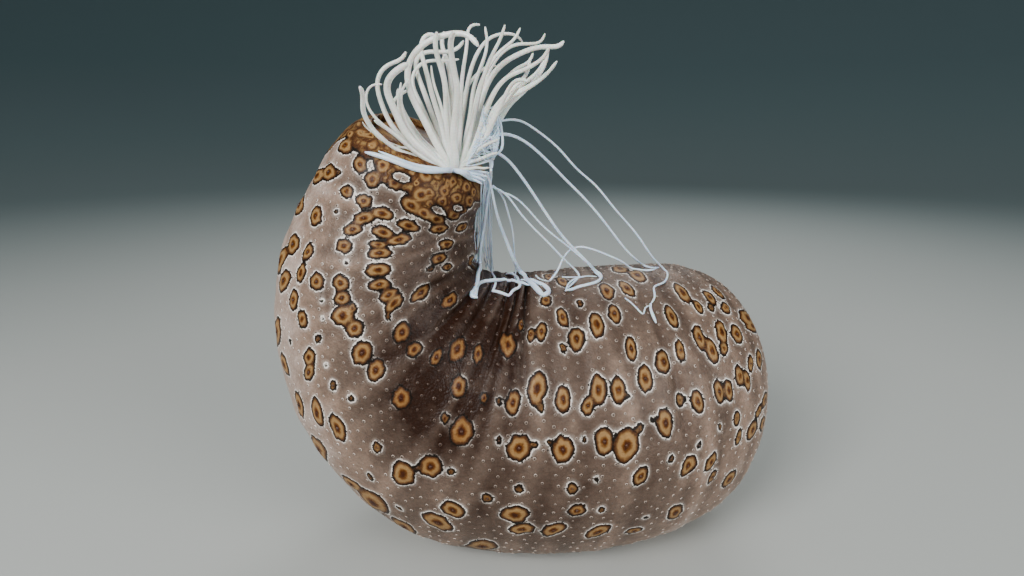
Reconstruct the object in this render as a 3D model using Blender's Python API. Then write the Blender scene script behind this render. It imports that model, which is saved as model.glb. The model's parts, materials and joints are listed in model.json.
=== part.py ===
"""Leopard sea cucumber, life size, lying on its sole with the hind end raised and its
sticky white tubules thrown out of the anus.

Metres, +Z up. The origin is on the floor under the middle of the body, +X runs to the
mouth end and -Y is the side that faces the viewer. Each named part is one closed object.
"""
import math
import random

import bmesh
import bpy
import numpy as np
from mathutils import Matrix, Vector
from mathutils.bvhtree import BVHTree

PARTS, PIECES = "sea_cucumber", "pieces"    # collections of parts, and of what joins them
MM = 0.001
GAP = 0.3                 # kept between parts that meet, mm

# The body line from the mouth end to the anal end. Each station is its centre x, y, z,
# the lean of its back from upright towards +X in degrees, then its half width, the
# height of its back and the depth of its belly. Lengths in mm.
STATIONS = (
    (105, 34, 54, 14, 42, 48, 37),
    (86, 27, 54, 6, 46, 54, 49),
    (58, 13, 53, 1, 52, 58, 57),
    (28, 3, 52, 3, 55, 60, 57),
    (2, 0, 52, 10, 52, 60, 57),
    (-22, 0, 58, 25, 51, 58, 57),
    (-40, -1, 76, 45, 47, 49, 53),
    (-49, -1, 98, 64, 43, 40, 47),
    (-50, -1, 120, 82, 39, 37, 40),
    (-46, -2, 140, 99, 34, 33, 31),
    (-33, -8, 162, 116, 27, 29, 25),
)
BELLY_LEVEL = 2.4         # height of the flattened belly above the floor
DOME_LENGTH = 42          # rounding of the mouth end
SHOULDER_LENGTH = 12      # rounding of the anal end
SHOULDER_NARROWING = 0.22
RING_SIDES = 36
RING_STEP = 4.2           # between rings along the body line
FIRST_RING = 0.35         # the dome's first ring, as a share of a ring's step

# Lengths along the body line at which one part ends and the next begins, from the
# mouth end, with the name of the part that ends there.
PART_ENDS = (
    ("mouth_end", 40), ("fore_trunk", 84), ("mid_trunk", 126), ("bend_lower", 158),
    ("bend_upper", 188), ("hind_trunk", 226),
)

# Folds of the skin that fan out from the crook of the bend. Each runs from one place to
# another, given as length along the body line and angle round it (90 is the middle of
# the back, 180 the viewer's side), with its depth and its half width.
FOLDS = (
    (120, 84, 115, 140, 2.2, 2.6),
    (96, 100, 95, 148, 1.1, 2.8),
    (71, 112, 65, 188, 1.2, 2.8),
    (140, 70, 127, 142, 1.8, 2.8),
    (152, 62, 137, 150, 1.8, 3.0),
    (165, 58, 157, 160, 2.2, 3.2),
    (174, 50, 172, 162, 2.2, 3.2),
    (187, 56, 195, 158, 1.7, 3.2),
    (133, 20, 128, 66, 1.2, 3.0),
    (106, 10, 110, 70, 1.4, 2.8),
    (82, 0, 84, 66, 1.2, 2.8),
    (160, 6, 163, 60, 1.5, 3.0),
    (196, 4, 188, 60, 1.4, 3.2),
)

# The anal crater: its lip and wall as rings, each a share of the last ring's size and a
# height above it, and the depth of its floor.
LIP_RINGS = ((0.76, 0.9), (0.72, 0.4), (0.70, -1.2))
CRATER_SHARE = 0.68
CRATER_DEPTH = 12

# Papillae round the lip, in groups of three with a larger one in the middle.
PAPILLA_GROUPS = 5
PAPILLA_SPACING = 9       # degrees round the lip
PAPILLA_RADIUS, PAPILLA_TIP_RADIUS = 1.0, 0.35
PAPILLA_LENGTH = 3.0
PAPILLA_ROOT = 0.9        # how deep its root is sunk
PAPILLA_FLARE = 0.5       # how far it leans outwards
MIDDLE_PAPILLA = 1.2      # size of the one in the middle

# Mouth: on the underside of the mouth end, closed, with the tentacles drawn in.
MOUTH_LENGTH, MOUTH_ANGLE = 11, 268
MOUTH_RADIUS = 9.5
MOUTH_DEPTH = 5.0
MOUTH_SIDES = 28
MOUTH_DISC_DROP = 1.5     # of the mouth's face below the skin, and of its edge inwards
TENTACLES = 20
TENTACLE_RADIUS = 1.15
TENTACLE_TAPER = 0.6
TENTACLE_ROOT, TENTACLE_TIP = 3.0, 0.5    # depths below the skin
TENTACLE_CIRCLES = (0.42, 0.62)           # shares of the mouth's radius

# Sole: the creeping foot pad, with three rows of tube feet.
SOLE_CENTRE_X, SOLE_CENTRE_Y = 27, 3
SOLE_HALF_LENGTH, SOLE_HALF_WIDTH = 47, 23
SOLE_TOP = BELLY_LEVEL - GAP
SOLE_UNDERSIDE = 0.6
SOLE_ROUNDING = 1.0       # of the pad's upper and lower edge
TUBE_FOOT_RADIUS = 1.7
TUBE_FOOT_TAPER = 0.8     # its root is thinner than its flat end
TUBE_FOOT_ROOT = 0.6      # how deep its root is sunk in the pad
TUBE_FOOT_STEP = 9.5
TUBE_FOOT_ROWS = (-15, 0, 15)
TUBE_FOOT_MARGIN = 3.0    # from the pad's edge

# Routes of tubules and threads are chosen by eye over the picture. A route's points are
# pixels of the 1024 x 576 picture, seen from EYE, and a depth y in mm puts them in space.
EYE = Vector((0, -230, 170))
PITCH = math.radians(15.64)
FOCAL_PIXELS = 600
PICTURE_CENTRE = (512, 288)

# Spacing of the points along tubules and threads, and how far they stay from the skin
# beyond the gap, which makes room for the flats of both, more so over the sharp rim.
TUBULE_SPACING = 7.0
THREAD_SPACING = 5.0
NEAR_SKIN = 4.0           # closer than this the spacing is halved
CLEARANCE = 0.8
RIM_CLEARANCE = 1.8

# The plug of tubule roots that fills the crater, as rings like the lip's.
PLUG_RINGS = ((CRATER_SHARE, -2.4), (0.6, -1.2), (0.3, -0.4))
PLUG_INSET = 0.45         # from the crater's wall

# The fan of tubules: depth y of the tip, radius at root and tip, and the route.
FAN_MOUTH, FAN_ROOT_Y = (452, 171), -15   # where the fan leaves the anus
ROOT_DEPTH, ROOT_SPREAD = 6, 1.5          # of the tubules' roots inside the plug
ROOT_TO_MOUTH = 0.65      # the roots' place from the middle of the anus to FAN_MOUTH
ROOT_SEED = 7
FAN = (
    (-37, 1.15, 0.8, ((446, 170), (426, 161), (402, 152), (386, 144), (374, 133), (366, 118),
                      (363, 106), (363, 94), (359, 88))),
    (-20, 0.8, 0.4, ((446, 168), (432, 160), (404, 140), (380, 122), (366, 106), (366, 90),
                     (373, 83), (383, 84))),
    (-30, 1.0, 0.6, ((448, 170), (432, 163), (413, 150), (397, 137), (383, 125), (374, 120))),
    (-12, 1.2, 0.7, ((447, 167), (432, 161), (410, 145), (394, 128), (383, 110), (378, 94),
                     (378, 78), (384, 67), (394, 62), (402, 61), (405, 53))),
    (-34, 1.5, 1.1, ((450, 171), (436, 162), (420, 148), (404, 130), (393, 108), (387, 89),
                     (389, 77), (397, 69), (407, 65))),
    (-6, 1.3, 1.0, ((448, 166), (432, 150), (416, 134), (406, 118), (400, 102), (398, 90))),
    (-30, 1.4, 0.9, ((450, 168), (440, 150), (430, 132), (421, 114), (412, 96), (407, 78),
                     (407, 66), (412, 55), (422, 46), (438, 38), (451, 34), (463, 32), (472, 37),
                     (477, 45))),
    (2, 1.2, 0.7, ((450, 166), (444, 146), (435, 122), (427, 100), (418, 78), (415, 64),
                   (418, 55), (426, 51), (437, 52), (449, 53), (458, 49), (463, 41))),
    (-16, 1.2, 0.7, ((452, 167), (447, 146), (440, 120), (431, 90), (424, 66), (421, 50),
                     (423, 37), (428, 31), (435, 34))),
    (-28, 1.3, 0.8, ((453, 169), (450, 145), (447, 116), (445, 90), (442, 70), (438, 56),
                     (435, 42), (436, 33))),
    (8, 1.2, 0.8, ((452, 165), (451, 140), (452, 110), (452, 86), (449, 70), (445, 56),
                   (442, 42), (445, 33))),
    (-38, 1.4, 0.9, ((455, 171), (454, 146), (455, 118), (457, 92), (455, 73), (452, 56),
                     (450, 40), (453, 31))),
    (-8, 1.2, 0.5, ((456, 168), (459, 140), (461, 116), (461, 92), (462, 73), (466, 54),
                    (468, 38), (468, 27), (472, 22), (479, 25))),
    (12, 1.2, 0.5, ((455, 165), (460, 136), (464, 108), (467, 84), (472, 66), (480, 50),
                    (490, 38), (504, 33), (517, 35), (523, 42))),
    (-2, 1.2, 0.5, ((457, 167), (466, 138), (471, 108), (475, 84), (481, 66), (486, 50),
                    (487, 38), (486, 26))),
    (-22, 1.3, 0.5, ((458, 169), (468, 142), (475, 112), (481, 88), (487, 66), (494, 50),
                     (502, 36), (506, 24))),
    (4, 1.2, 0.5, ((457, 165), (468, 140), (477, 110), (484, 84), (492, 64), (506, 50),
                   (522, 44), (540, 42), (544, 33))),
    (-12, 1.3, 0.8, ((458, 168), (468, 146), (477, 120), (483, 94), (491, 76), (506, 62),
                     (522, 53), (538, 46), (554, 47), (561, 47), (563, 42))),
    (-32, 1.2, 0.6, ((460, 170), (474, 146), (484, 118), (493, 94), (506, 78), (522, 70),
                     (535, 64), (546, 55), (548, 48))),
    (-22, 1.2, 0.6, ((462, 170), (476, 154), (490, 137), (499, 121), (509, 106), (522, 94),
                     (536, 78), (545, 63), (549, 50))),
    (-36, 1.2, 0.6, ((462, 171), (477, 152), (489, 132), (497, 114), (503, 98), (512, 84),
                     (520, 80), (528, 82))),
    (14, 1.2, 0.6, ((456, 165), (467, 146), (476, 126), (488, 102), (499, 84), (510, 76),
                    (519, 67), (528, 62), (532, 53))),
)

# Tubules that lie over the rim: radius and route, as length along the body and angle.
BELT_TAPER = 0.8
BELT = (
    (1.1, ((252.6, 146), (252.4, 160), (252, 175), (251.4, 192), (250, 207))),
    (0.9, ((252.6, 122), (251.6, 112), (250, 104), (247, 98))),
)

# The sticky web at the right of the fan, and the stubs that the threads leave from.
WEB_Y = -19
WEB_RADIUS = 0.6
WEB = (
    ((499, 119), (502, 134), (501, 150), (496, 155)),
    ((490, 136), (494, 146), (490, 159)),
    ((484, 146), (493, 140), (502, 133)),
)
THREAD_RADIUS = 0.5
FRONT_Y = -25
STUBS = (
    (WEB_Y, ((499, 121), (503, 120), (507, 120))),
    (WEB_Y, ((501, 133), (504, 134), (508, 136))),
    (WEB_Y, ((496, 153), (501, 154), (505, 158))),
    (FRONT_Y, ((462, 172), (473, 175), (483, 178), (491, 180))),
    (WEB_Y, ((491, 157), (492, 162), (492, 167))),
    (WEB_Y, ((480, 180), (485, 184), (488, 188))),
)

# Threads: each has its start, a route through the water, and a route on the skin as
# lengths along the body and angles round it. The start is a place on the skin, or the
# depth of the stub that the thread leaves a gap past. Those of one part cross or join.
SPANNING = (
    (WEB_Y, ((508, 120), (518, 121), (532, 125), (546, 139), (560, 153), (576, 167),
      (593, 181), (610, 200), (626, 224), (641, 247), (650, 260)),
     ((56, 95), (54, 103), (56, 107), (61, 110), (66, 113), (69, 118), (70, 122), (70, 127))),
    (WEB_Y, ((509, 136.5), (520, 143), (535, 155), (551, 173), (567, 194), (580, 207),
      (594, 224), (612, 247), (628, 258)),
     ((60, 95), (59, 102), (61, 110), (63, 114))),
    (WEB_Y, ((506, 159), (518, 173), (528, 190), (537, 207), (550, 230), (567, 249), (576, 258)),
     ((86, 91), (84, 98), (86, 106), (92, 108), (97, 109), (102, 107))),
    (None, (), ((102, 112), (98, 106), (93, 101), (88, 101), (81, 101))),
    (FRONT_Y, ((493.5, 181.5), (502, 187), (513, 197), (535, 220), (556, 244), (568, 256)),
     ((91, 95), (88, 101), (86, 106), (85, 112))),
    ((93, 101), ((580, 262), (574, 256), (580, 249), (594, 247), (610, 251), (622, 257)),
     ((64, 95), (59, 102), (54, 108))),
)
HANGING = (
    (WEB_Y, ((492, 168), (494, 180), (498, 205), (505, 230), (513, 252), (517, 262)),
     ((132, 93), (128, 99), (127, 105), (133, 109), (145, 110), (156, 110), (164, 112))),
    (WEB_Y, ((488.7, 189), (490, 200), (492, 222), (491, 245), (487, 258)),
     ((176, 96), (174, 108), (170, 120))),
    (None, (), ((175, 117), (174, 108), (167, 102), (151, 99), (138, 99), (128, 99))),
    (WEB_Y, ((492, 168), (497, 190), (510, 210), (522, 228), (530, 250), (533, 262)),
     ((117, 94), (113, 106), (109, 113))),
    (None, (), ((109, 108), (113, 106), (119, 102), (128, 99))),
)

# Colour and roughness of each finish, and the turn of the skin past which an edge is sharp.
FINISHES = {
    "skin": ((0.45, 0.36, 0.33), 0.5),
    "anal_skin": ((0.36, 0.22, 0.12), 0.5),
    "mouth": ((0.24, 0.15, 0.12), 0.45),
    "sole": ((0.72, 0.64, 0.60), 0.6),
    "tubules": ((0.86, 0.87, 0.84), 0.4),
    "threads": ((0.78, 0.86, 0.92), 0.4),
}
SHARP_ANGLE = math.radians(50)

FINE_STEPS = 2001         # of the table that the body line is read from


def spline(knots, values, at):
    """Natural cubic spline through rows of values at rising knots, read at at."""
    count = len(values)
    gaps = np.diff(knots)
    system = np.eye(count)
    bend = np.zeros((count, values.shape[1]))
    for row in range(1, count - 1):
        before, after = gaps[row - 1], gaps[row]
        system[row, row - 1:row + 2] = before, 2 * (before + after), after
        slopes = np.diff(values[row - 1:row + 2], axis=0) / [[before], [after]]
        bend[row] = 6 * (slopes[1] - slopes[0])
    curvature = np.linalg.solve(system, bend)
    low = np.clip(np.searchsorted(knots, at, "right") - 1, 0, count - 2)
    gap = gaps[low][:, None]
    share = (at - knots[low])[:, None] / gap
    straight = (1 - share) * values[low] + share * values[low + 1]
    pull = (2 - share) * curvature[low] + (1 + share) * curvature[low + 1]
    return straight - gap ** 2 * share * (1 - share) * pull / 6


STATION_KNOTS = np.arange(len(STATIONS))
FINE = spline(STATION_KNOTS, np.array(STATIONS, float),
              np.linspace(0, STATION_KNOTS[-1], FINE_STEPS))
FINE_LENGTH = np.concatenate(
    ([0], np.cumsum(np.linalg.norm(np.diff(FINE[:, :3], axis=0), axis=1))))
BODY_LENGTH = FINE_LENGTH[-1]
FINE_HEADING = np.gradient(FINE[:, :3], axis=0)


def read_line(table, length):
    """Values of a table kept along the body line, at one length."""
    return np.array([np.interp(length, FINE_LENGTH, column) for column in table.T])


def unit(vector):
    return vector / np.linalg.norm(vector)


def section(length):
    """Centre, heading, sideways and back directions and sizes of the body at a length."""
    values = read_line(FINE, length)
    heading = unit(read_line(FINE_HEADING, length))
    side = np.array([0.0, 1.0, 0.0])
    side = unit(side - side.dot(heading) * heading)
    lean = math.radians(values[3])
    back = np.array([math.sin(lean), 0.0, math.cos(lean)])
    back = unit(back - back.dot(side) * side)
    return values[:3], np.cross(back, side), side, back, values[4:]


def end_share(length):
    """How far the body has narrowed towards its two ends, 1 where it hasn't."""
    to_dome = 1 - min(length / DOME_LENGTH, 1)
    to_end = 1 - min((BODY_LENGTH - length) / SHOULDER_LENGTH, 1)
    dome = math.sqrt(max(1 - to_dome ** 2, 0))
    shoulder = 1 - SHOULDER_NARROWING * (1 - math.sqrt(max(1 - to_end ** 2, 0)))
    return dome * shoulder


def fold_depth(length, degrees):
    """Depth of the skin folds at a place on the body."""
    total = 0.0
    for start, low, end, high, depth, width in FOLDS:
        share = (degrees - low) / (high - low)
        if 0 < share < 1:
            across = (length - start - share * (end - start)) / width
            total += depth * math.exp(-across ** 2) * math.sin(math.pi * share) ** 0.5
    return total


def surface_point(length, degrees, share=None, rise=0.0, inset=0.0):
    """Place on the skin: sized by share, raised along the heading, set in from the skin."""
    centre, heading, side, back, (half_width, back_height, belly) = section(length)
    share = end_share(length) if share is None else share
    angle = math.radians(degrees)
    reach = back_height if math.sin(angle) >= 0 else belly
    offset = (half_width * share - inset) * math.cos(angle) * side
    offset = offset + (reach * share - inset) * math.sin(angle) * back
    offset *= 1 - fold_depth(length, degrees) / np.linalg.norm(offset)
    bottom = centre[2] + offset[2]
    if bottom < BELLY_LEVEL:
        offset *= (centre[2] - BELLY_LEVEL) / (centre[2] - bottom)
    return centre + offset + rise * heading


def ring(length, share=None, rise=0.0, inset=0.0):
    """Flat ring of skin points at a length along the body."""
    return [surface_point(length, 360 * step / RING_SIDES, share, rise, inset)
            for step in range(RING_SIDES)]


def material(name):
    colour, roughness = FINISHES[name]
    finish = bpy.data.materials.new(name)
    finish.use_nodes = True
    shader = finish.node_tree.nodes["Principled BSDF"]
    shader.inputs["Base Color"].default_value = (*colour, 1)
    shader.inputs["Roughness"].default_value = roughness
    shader.inputs["Metallic"].default_value = 0
    return finish


def add_part(name, mesh, finish):
    part = bpy.data.objects.new(name, mesh)
    bpy.data.collections[PARTS].objects.link(part)
    mesh.materials.clear()
    mesh.materials.append(finish)
    return part


def add_piece(mesh):
    """Loose object that the next Boolean joins to a part or cuts from it."""
    piece = bpy.data.objects.new("piece", mesh)
    bpy.data.collections[PIECES].objects.link(piece)
    return piece


def finished_mesh(form):
    """Mesh of a closed bmesh, with its faces pointing outwards."""
    bmesh.ops.recalc_face_normals(form, faces=form.faces)
    mesh = bpy.data.meshes.new("mesh")
    form.to_mesh(mesh)
    form.free()
    return mesh


def loft(rings):
    """Closed mesh through rings of equal count, its two end rings capped flat."""
    form = bmesh.new()
    rows = [[form.verts.new(Vector(point) * MM) for point in points] for points in rings]
    count = len(rings[0])
    for lower, upper in zip(rows, rows[1:]):
        for i in range(count):
            j = (i + 1) % count
            form.faces.new((lower[i], lower[j], upper[j], upper[i]))
    form.faces.new(rows[0])
    form.faces.new(rows[-1])
    return finished_mesh(form)


def cone(start, end, start_radius, end_radius, sides=6):
    """Closed, tapered mesh from one point to another."""
    start, end = Vector(start) * MM, Vector(end) * MM
    form = bmesh.new()
    bmesh.ops.create_cone(form, cap_ends=True, segments=sides, radius1=start_radius * MM,
                          radius2=end_radius * MM, depth=(end - start).length)
    turn = (end - start).to_track_quat("Z", "Y").to_matrix().to_4x4()
    bmesh.ops.transform(form, matrix=Matrix.Translation((start + end) / 2) @ turn,
                        verts=form.verts)
    return finished_mesh(form)


def tube(points, start_radius, end_radius):
    """Closed tube through the points, tapering from one radius to the other."""
    curve = bpy.data.curves.new("tube", "CURVE")
    curve.dimensions = "3D"
    curve.bevel_depth = MM
    curve.bevel_resolution = 1
    curve.use_fill_caps = True
    route = curve.splines.new("POLY")
    route.points.add(len(points) - 1)
    for i, (knot, point) in enumerate(zip(route.points, points)):
        share = i / (len(points) - 1)
        knot.co = (*(np.array(point) * MM), 1)
        knot.radius = start_radius + share * (end_radius - start_radius)
    piece = add_piece(curve)
    form = bmesh.new()
    form.from_mesh(evaluated_mesh(piece))
    bpy.data.objects.remove(piece)
    bmesh.ops.remove_doubles(form, verts=form.verts, dist=1e-7)
    return finished_mesh(form)


def evaluated_mesh(piece):
    bpy.context.view_layer.update()
    return bpy.data.meshes.new_from_object(
        piece.evaluated_get(bpy.context.evaluated_depsgraph_get()))


def shells(form):
    """Sets of vertices, one for each closed surface."""
    left, found = set(form.verts), []
    while left:
        shell, queue = set(), [left.pop()]
        while queue:
            vertex = queue.pop()
            shell.add(vertex)
            for edge in vertex.link_edges:
                other = edge.other_vert(vertex)
                if other in left:
                    left.remove(other)
                    queue.append(other)
        found.append(shell)
    return found


def reach(shell):
    """Volume of the box round a set of vertices."""
    low = [min(vertex.co[axis] for vertex in shell) for axis in range(3)]
    high = [max(vertex.co[axis] for vertex in shell) for axis in range(3)]
    return math.prod(b - a for a, b in zip(low, high))


def keep_largest(mesh):
    """Keep only the closed surface that reaches furthest."""
    form = bmesh.new()
    form.from_mesh(mesh)
    bmesh.ops.triangulate(form, faces=form.faces)
    largest = max(shells(form), key=reach)
    loose = [vertex for vertex in form.verts if vertex not in largest]
    bmesh.ops.delete(form, geom=loose, context="VERTS")
    form.to_mesh(mesh)
    form.free()


def boolean(part, operation="UNION"):
    """Join the loose pieces to a part, or cut them from it, and remove them."""
    pieces = bpy.data.collections[PIECES]
    step = part.modifiers.new("join", "BOOLEAN")
    step.operation = operation
    step.operand_type = "COLLECTION"
    step.collection = pieces
    step.solver = "EXACT"
    mesh = evaluated_mesh(part)
    part.modifiers.remove(step)
    part.data = mesh
    for piece in list(pieces.objects):
        bpy.data.objects.remove(piece)
    keep_largest(mesh)


def body_rings(start, end):
    """Rings from one cut to the next, each cut's ring set back by half the gap."""
    steps = max(2, round((end - start) / RING_STEP))
    lengths = [start + (end - start) * i / steps for i in range(steps + 1)]
    if start == 0:
        turns = [math.pi / 2 * (i + FIRST_RING) / steps for i in range(steps)]
        lengths = [end * (1 - math.cos(turn)) for turn in turns] + [end]
    rings = [ring(length) for length in lengths]
    if start > 0:
        rings[0] = ring(start, rise=GAP / 2)
    if end < BODY_LENGTH:
        rings[-1] = ring(end, rise=-GAP / 2)
    return rings


def crater_rings():
    """Rings of the lip, turned in, and of the wall down to the crater's floor."""
    rings = [ring(BODY_LENGTH, share, rise) for share, rise in LIP_RINGS]
    return rings + [ring(BODY_LENGTH, CRATER_SHARE, -CRATER_DEPTH)]


def anal_end(start, finish):
    """Last length of the body, with small papillae in groups round its lip."""
    part = add_part("anal_end", loft(body_rings(start, BODY_LENGTH) + crater_rings()), finish)
    centre, heading = section(BODY_LENGTH)[:2]
    for group in range(PAPILLA_GROUPS):
        for place in (-1, 0, 1):
            degrees = 360 * (group + 0.5) / PAPILLA_GROUPS + PAPILLA_SPACING * place
            root = surface_point(BODY_LENGTH, degrees, *LIP_RINGS[0])
            out = unit(heading + PAPILLA_FLARE * unit(root - centre))
            size = 1.0 if place else MIDDLE_PAPILLA
            add_piece(cone(root - PAPILLA_ROOT * out, root + size * PAPILLA_LENGTH * out,
                           PAPILLA_RADIUS * size, PAPILLA_TIP_RADIUS))
    boolean(part)


def smooth(points, spacing):
    """Points about spacing apart on a smooth curve through the given ones."""
    points = np.array(points, float)
    steps = np.linalg.norm(np.diff(points, axis=0), axis=1)
    knots = np.concatenate(([0], np.cumsum(steps)))
    count = max(2, round(knots[-1] / spacing)) + 1
    return spline(knots, points, np.linspace(0, knots[-1], count))


def sight(x, y):
    """Direction in which a pixel of the picture is seen, one unit deep."""
    right = (x - PICTURE_CENTRE[0]) / FOCAL_PIXELS
    up = (PICTURE_CENTRE[1] - y) / FOCAL_PIXELS
    return Vector((right, math.cos(PITCH) + up * math.sin(PITCH),
                   up * math.cos(PITCH) - math.sin(PITCH)))


def at_depth(x, y, depth):
    """Place where a pixel's line of sight meets the upright plane at a depth."""
    ray = sight(x, y)
    return np.array(EYE + ray * ((depth - EYE.y) / ray.y))


def on_skin(length, degrees, skin, lift):
    """Place just above the skin, at a length along the body and an angle round it."""
    place, normal, _, _ = skin.find_nearest(Vector(surface_point(length, degrees)))
    return np.array(place + normal * lift)


def skin_tree(mesh):
    """Search tree over a surface, in mm."""
    form = bmesh.new()
    form.from_mesh(mesh)
    bmesh.ops.scale(form, vec=(1 / MM, 1 / MM, 1 / MM), verts=form.verts)
    tree = BVHTree.FromBMesh(form)
    form.free()
    return tree


def clear_of(points, skin, distance):
    """Points moved out of the skin, to a distance from it."""
    moved = []
    for point in points:
        place, normal, _, away = skin.find_nearest(Vector(point))
        outside = (Vector(point) - place).dot(normal) > 0
        if not outside or away < distance:
            point = np.array(place + normal * distance)
        moved.append(point)
    return moved


def laid(points, spacing, skin, distance):
    """Smooth route kept clear of the skin, with twice the points where it is near it."""
    dense = clear_of(smooth(points, spacing / 2), skin, distance)
    near = [skin.find_nearest(Vector(point))[3] < NEAR_SKIN for point in dense]
    last = len(dense) - 1
    return [point for i, point in enumerate(dense) if near[i] or i % 2 == 0 or i == last]


def fan_points(route, root_y, tip_y):
    """Points of a tubule whose depth goes evenly from its root's to its tip's."""
    depths = np.linspace(root_y, tip_y, len(route))
    return [at_depth(x, y, depth) for (x, y), depth in zip(route, depths)]


def fan_tubules(root_middle, skin):
    draw = random.Random(ROOT_SEED)
    for tip_y, root_radius, tip_radius, route in FAN:
        root = root_middle + [draw.uniform(-ROOT_SPREAD, ROOT_SPREAD) for _ in range(3)]
        points = [root] + fan_points(route, FAN_ROOT_Y, tip_y)
        points = laid(points, TUBULE_SPACING, skin, root_radius + GAP + CLEARANCE)
        add_piece(tube(points, root_radius, tip_radius))


def belt_tubules(root_middle, heading, skin):
    for radius, route in BELT:
        lift = radius + GAP + CLEARANCE
        lying = [on_skin(*place, skin, lift) for place in route]
        points = [root_middle, lying[0] + RIM_CLEARANCE * heading] + lying[1:]
        add_piece(tube(laid(points, THREAD_SPACING, skin, lift), radius, radius * BELT_TAPER))


def web_strands(skin):
    for route in WEB:
        points = smooth(fan_points(route, WEB_Y, WEB_Y), TUBULE_SPACING)
        points = clear_of(points, skin, WEB_RADIUS + GAP + CLEARANCE)
        add_piece(tube(points, WEB_RADIUS, WEB_RADIUS))
    for end_y, route in STUBS:
        points = fan_points(route, WEB_Y, end_y)
        points = clear_of(points, skin, THREAD_RADIUS + GAP + CLEARANCE)
        add_piece(tube(points, THREAD_RADIUS, THREAD_RADIUS))


def tubule_fan(skin, finish):
    """The plug of roots that fills the crater, the fan, the belt, the web and the stubs."""
    rings = [ring(BODY_LENGTH, CRATER_SHARE, GAP - CRATER_DEPTH, PLUG_INSET)]
    rings += [ring(BODY_LENGTH, share, rise, PLUG_INSET) for share, rise in PLUG_RINGS]
    part = add_part("tubule_fan", loft(rings), finish)
    centre, heading = section(BODY_LENGTH)[:2]
    leaving = at_depth(*FAN_MOUTH, FAN_ROOT_Y)
    root_middle = centre + ROOT_TO_MOUTH * (leaving - centre) - ROOT_DEPTH * heading
    fan_tubules(root_middle, skin)
    belt_tubules(root_middle, heading, skin)
    web_strands(skin)
    boolean(part)


def thread(start, water, lying, skin):
    """A thread through the water and on over the skin."""
    lift = THREAD_RADIUS + GAP + CLEARANCE
    points = [on_skin(*place, skin, lift) for place in lying]
    if water:
        first = [] if start in (WEB_Y, FRONT_Y) else [on_skin(*start, skin, lift)]
        start_y = first[0][1] if first else start
        points = first + fan_points(water, start_y, points[0][1]) + points
    return tube(laid(points, THREAD_SPACING, skin, lift), THREAD_RADIUS, THREAD_RADIUS)


def threads(name, routes, skin, finish):
    """One part of all the threads that cross or join each other."""
    meshes = [thread(*route, skin) for route in routes]
    part = add_part(name, meshes[0], finish)
    for mesh in meshes[1:]:
        add_piece(mesh)
    boolean(part)


def mouth(front, finish):
    """Recess in the mouth end, and in it the puckered mouth with its tentacle tips."""
    place = Vector(surface_point(MOUTH_LENGTH, MOUTH_ANGLE))
    nearest, out, _, _ = skin_tree(front.data).find_nearest(place)
    nearest, out = np.array(nearest), np.array(out)
    add_piece(cone(nearest - MOUTH_DEPTH * out, nearest + MOUTH_DEPTH * out, MOUTH_RADIUS,
                   MOUTH_RADIUS, MOUTH_SIDES))
    boolean(front, "DIFFERENCE")
    disc = cone(nearest - (MOUTH_DEPTH - GAP) * out, nearest - MOUTH_DISC_DROP * out,
                MOUTH_RADIUS - GAP, MOUTH_RADIUS - MOUTH_DISC_DROP, MOUTH_SIDES)
    part = add_part("mouth", disc, finish)
    across = unit(np.cross(out, (0, 0, 1)))
    along = np.cross(out, across)
    for index in range(TENTACLES):
        turn = 2 * math.pi * index / TENTACLES
        circle = MOUTH_RADIUS * TENTACLE_CIRCLES[index % 2]
        spot = nearest + circle * (math.cos(turn) * across + math.sin(turn) * along)
        add_piece(cone(spot - TENTACLE_ROOT * out, spot - TENTACLE_TIP * out,
                       TENTACLE_RADIUS, TENTACLE_RADIUS * TENTACLE_TAPER))
    boolean(part)


def sole_ring(level, inset):
    """Ellipse of the sole's outline at a level, set in from its widest."""
    turns = [2 * math.pi * step / RING_SIDES for step in range(RING_SIDES)]
    return [(SOLE_CENTRE_X + (SOLE_HALF_LENGTH - inset) * math.cos(turn),
             SOLE_CENTRE_Y + (SOLE_HALF_WIDTH - inset) * math.sin(turn), level)
            for turn in turns]


def tube_foot_places():
    """Places in three rows that lie well inside the sole's outline, one at the origin."""
    count = int(2 * SOLE_HALF_LENGTH / TUBE_FOOT_STEP)
    for y in TUBE_FOOT_ROWS:
        for index in range(-count // 2, count):
            x = index * TUBE_FOOT_STEP
            across = (x - SOLE_CENTRE_X) / (SOLE_HALF_LENGTH - TUBE_FOOT_MARGIN)
            aside = (y - SOLE_CENTRE_Y) / (SOLE_HALF_WIDTH - TUBE_FOOT_MARGIN)
            if across ** 2 + aside ** 2 < 1:
                yield x, y


def sole(finish):
    """Foot pad under the belly, standing on the flat ends of its tube feet."""
    levels = (SOLE_UNDERSIDE, (SOLE_UNDERSIDE + SOLE_TOP) / 2, SOLE_TOP)
    insets = (SOLE_ROUNDING, 0, SOLE_ROUNDING)
    part = add_part("sole", loft([sole_ring(*pair) for pair in zip(levels, insets)]), finish)
    for x, y in tube_foot_places():
        add_piece(cone((x, y, 0), (x, y, SOLE_UNDERSIDE + TUBE_FOOT_ROOT),
                       TUBE_FOOT_RADIUS, TUBE_FOOT_RADIUS * TUBE_FOOT_TAPER))
    boolean(part)


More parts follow.
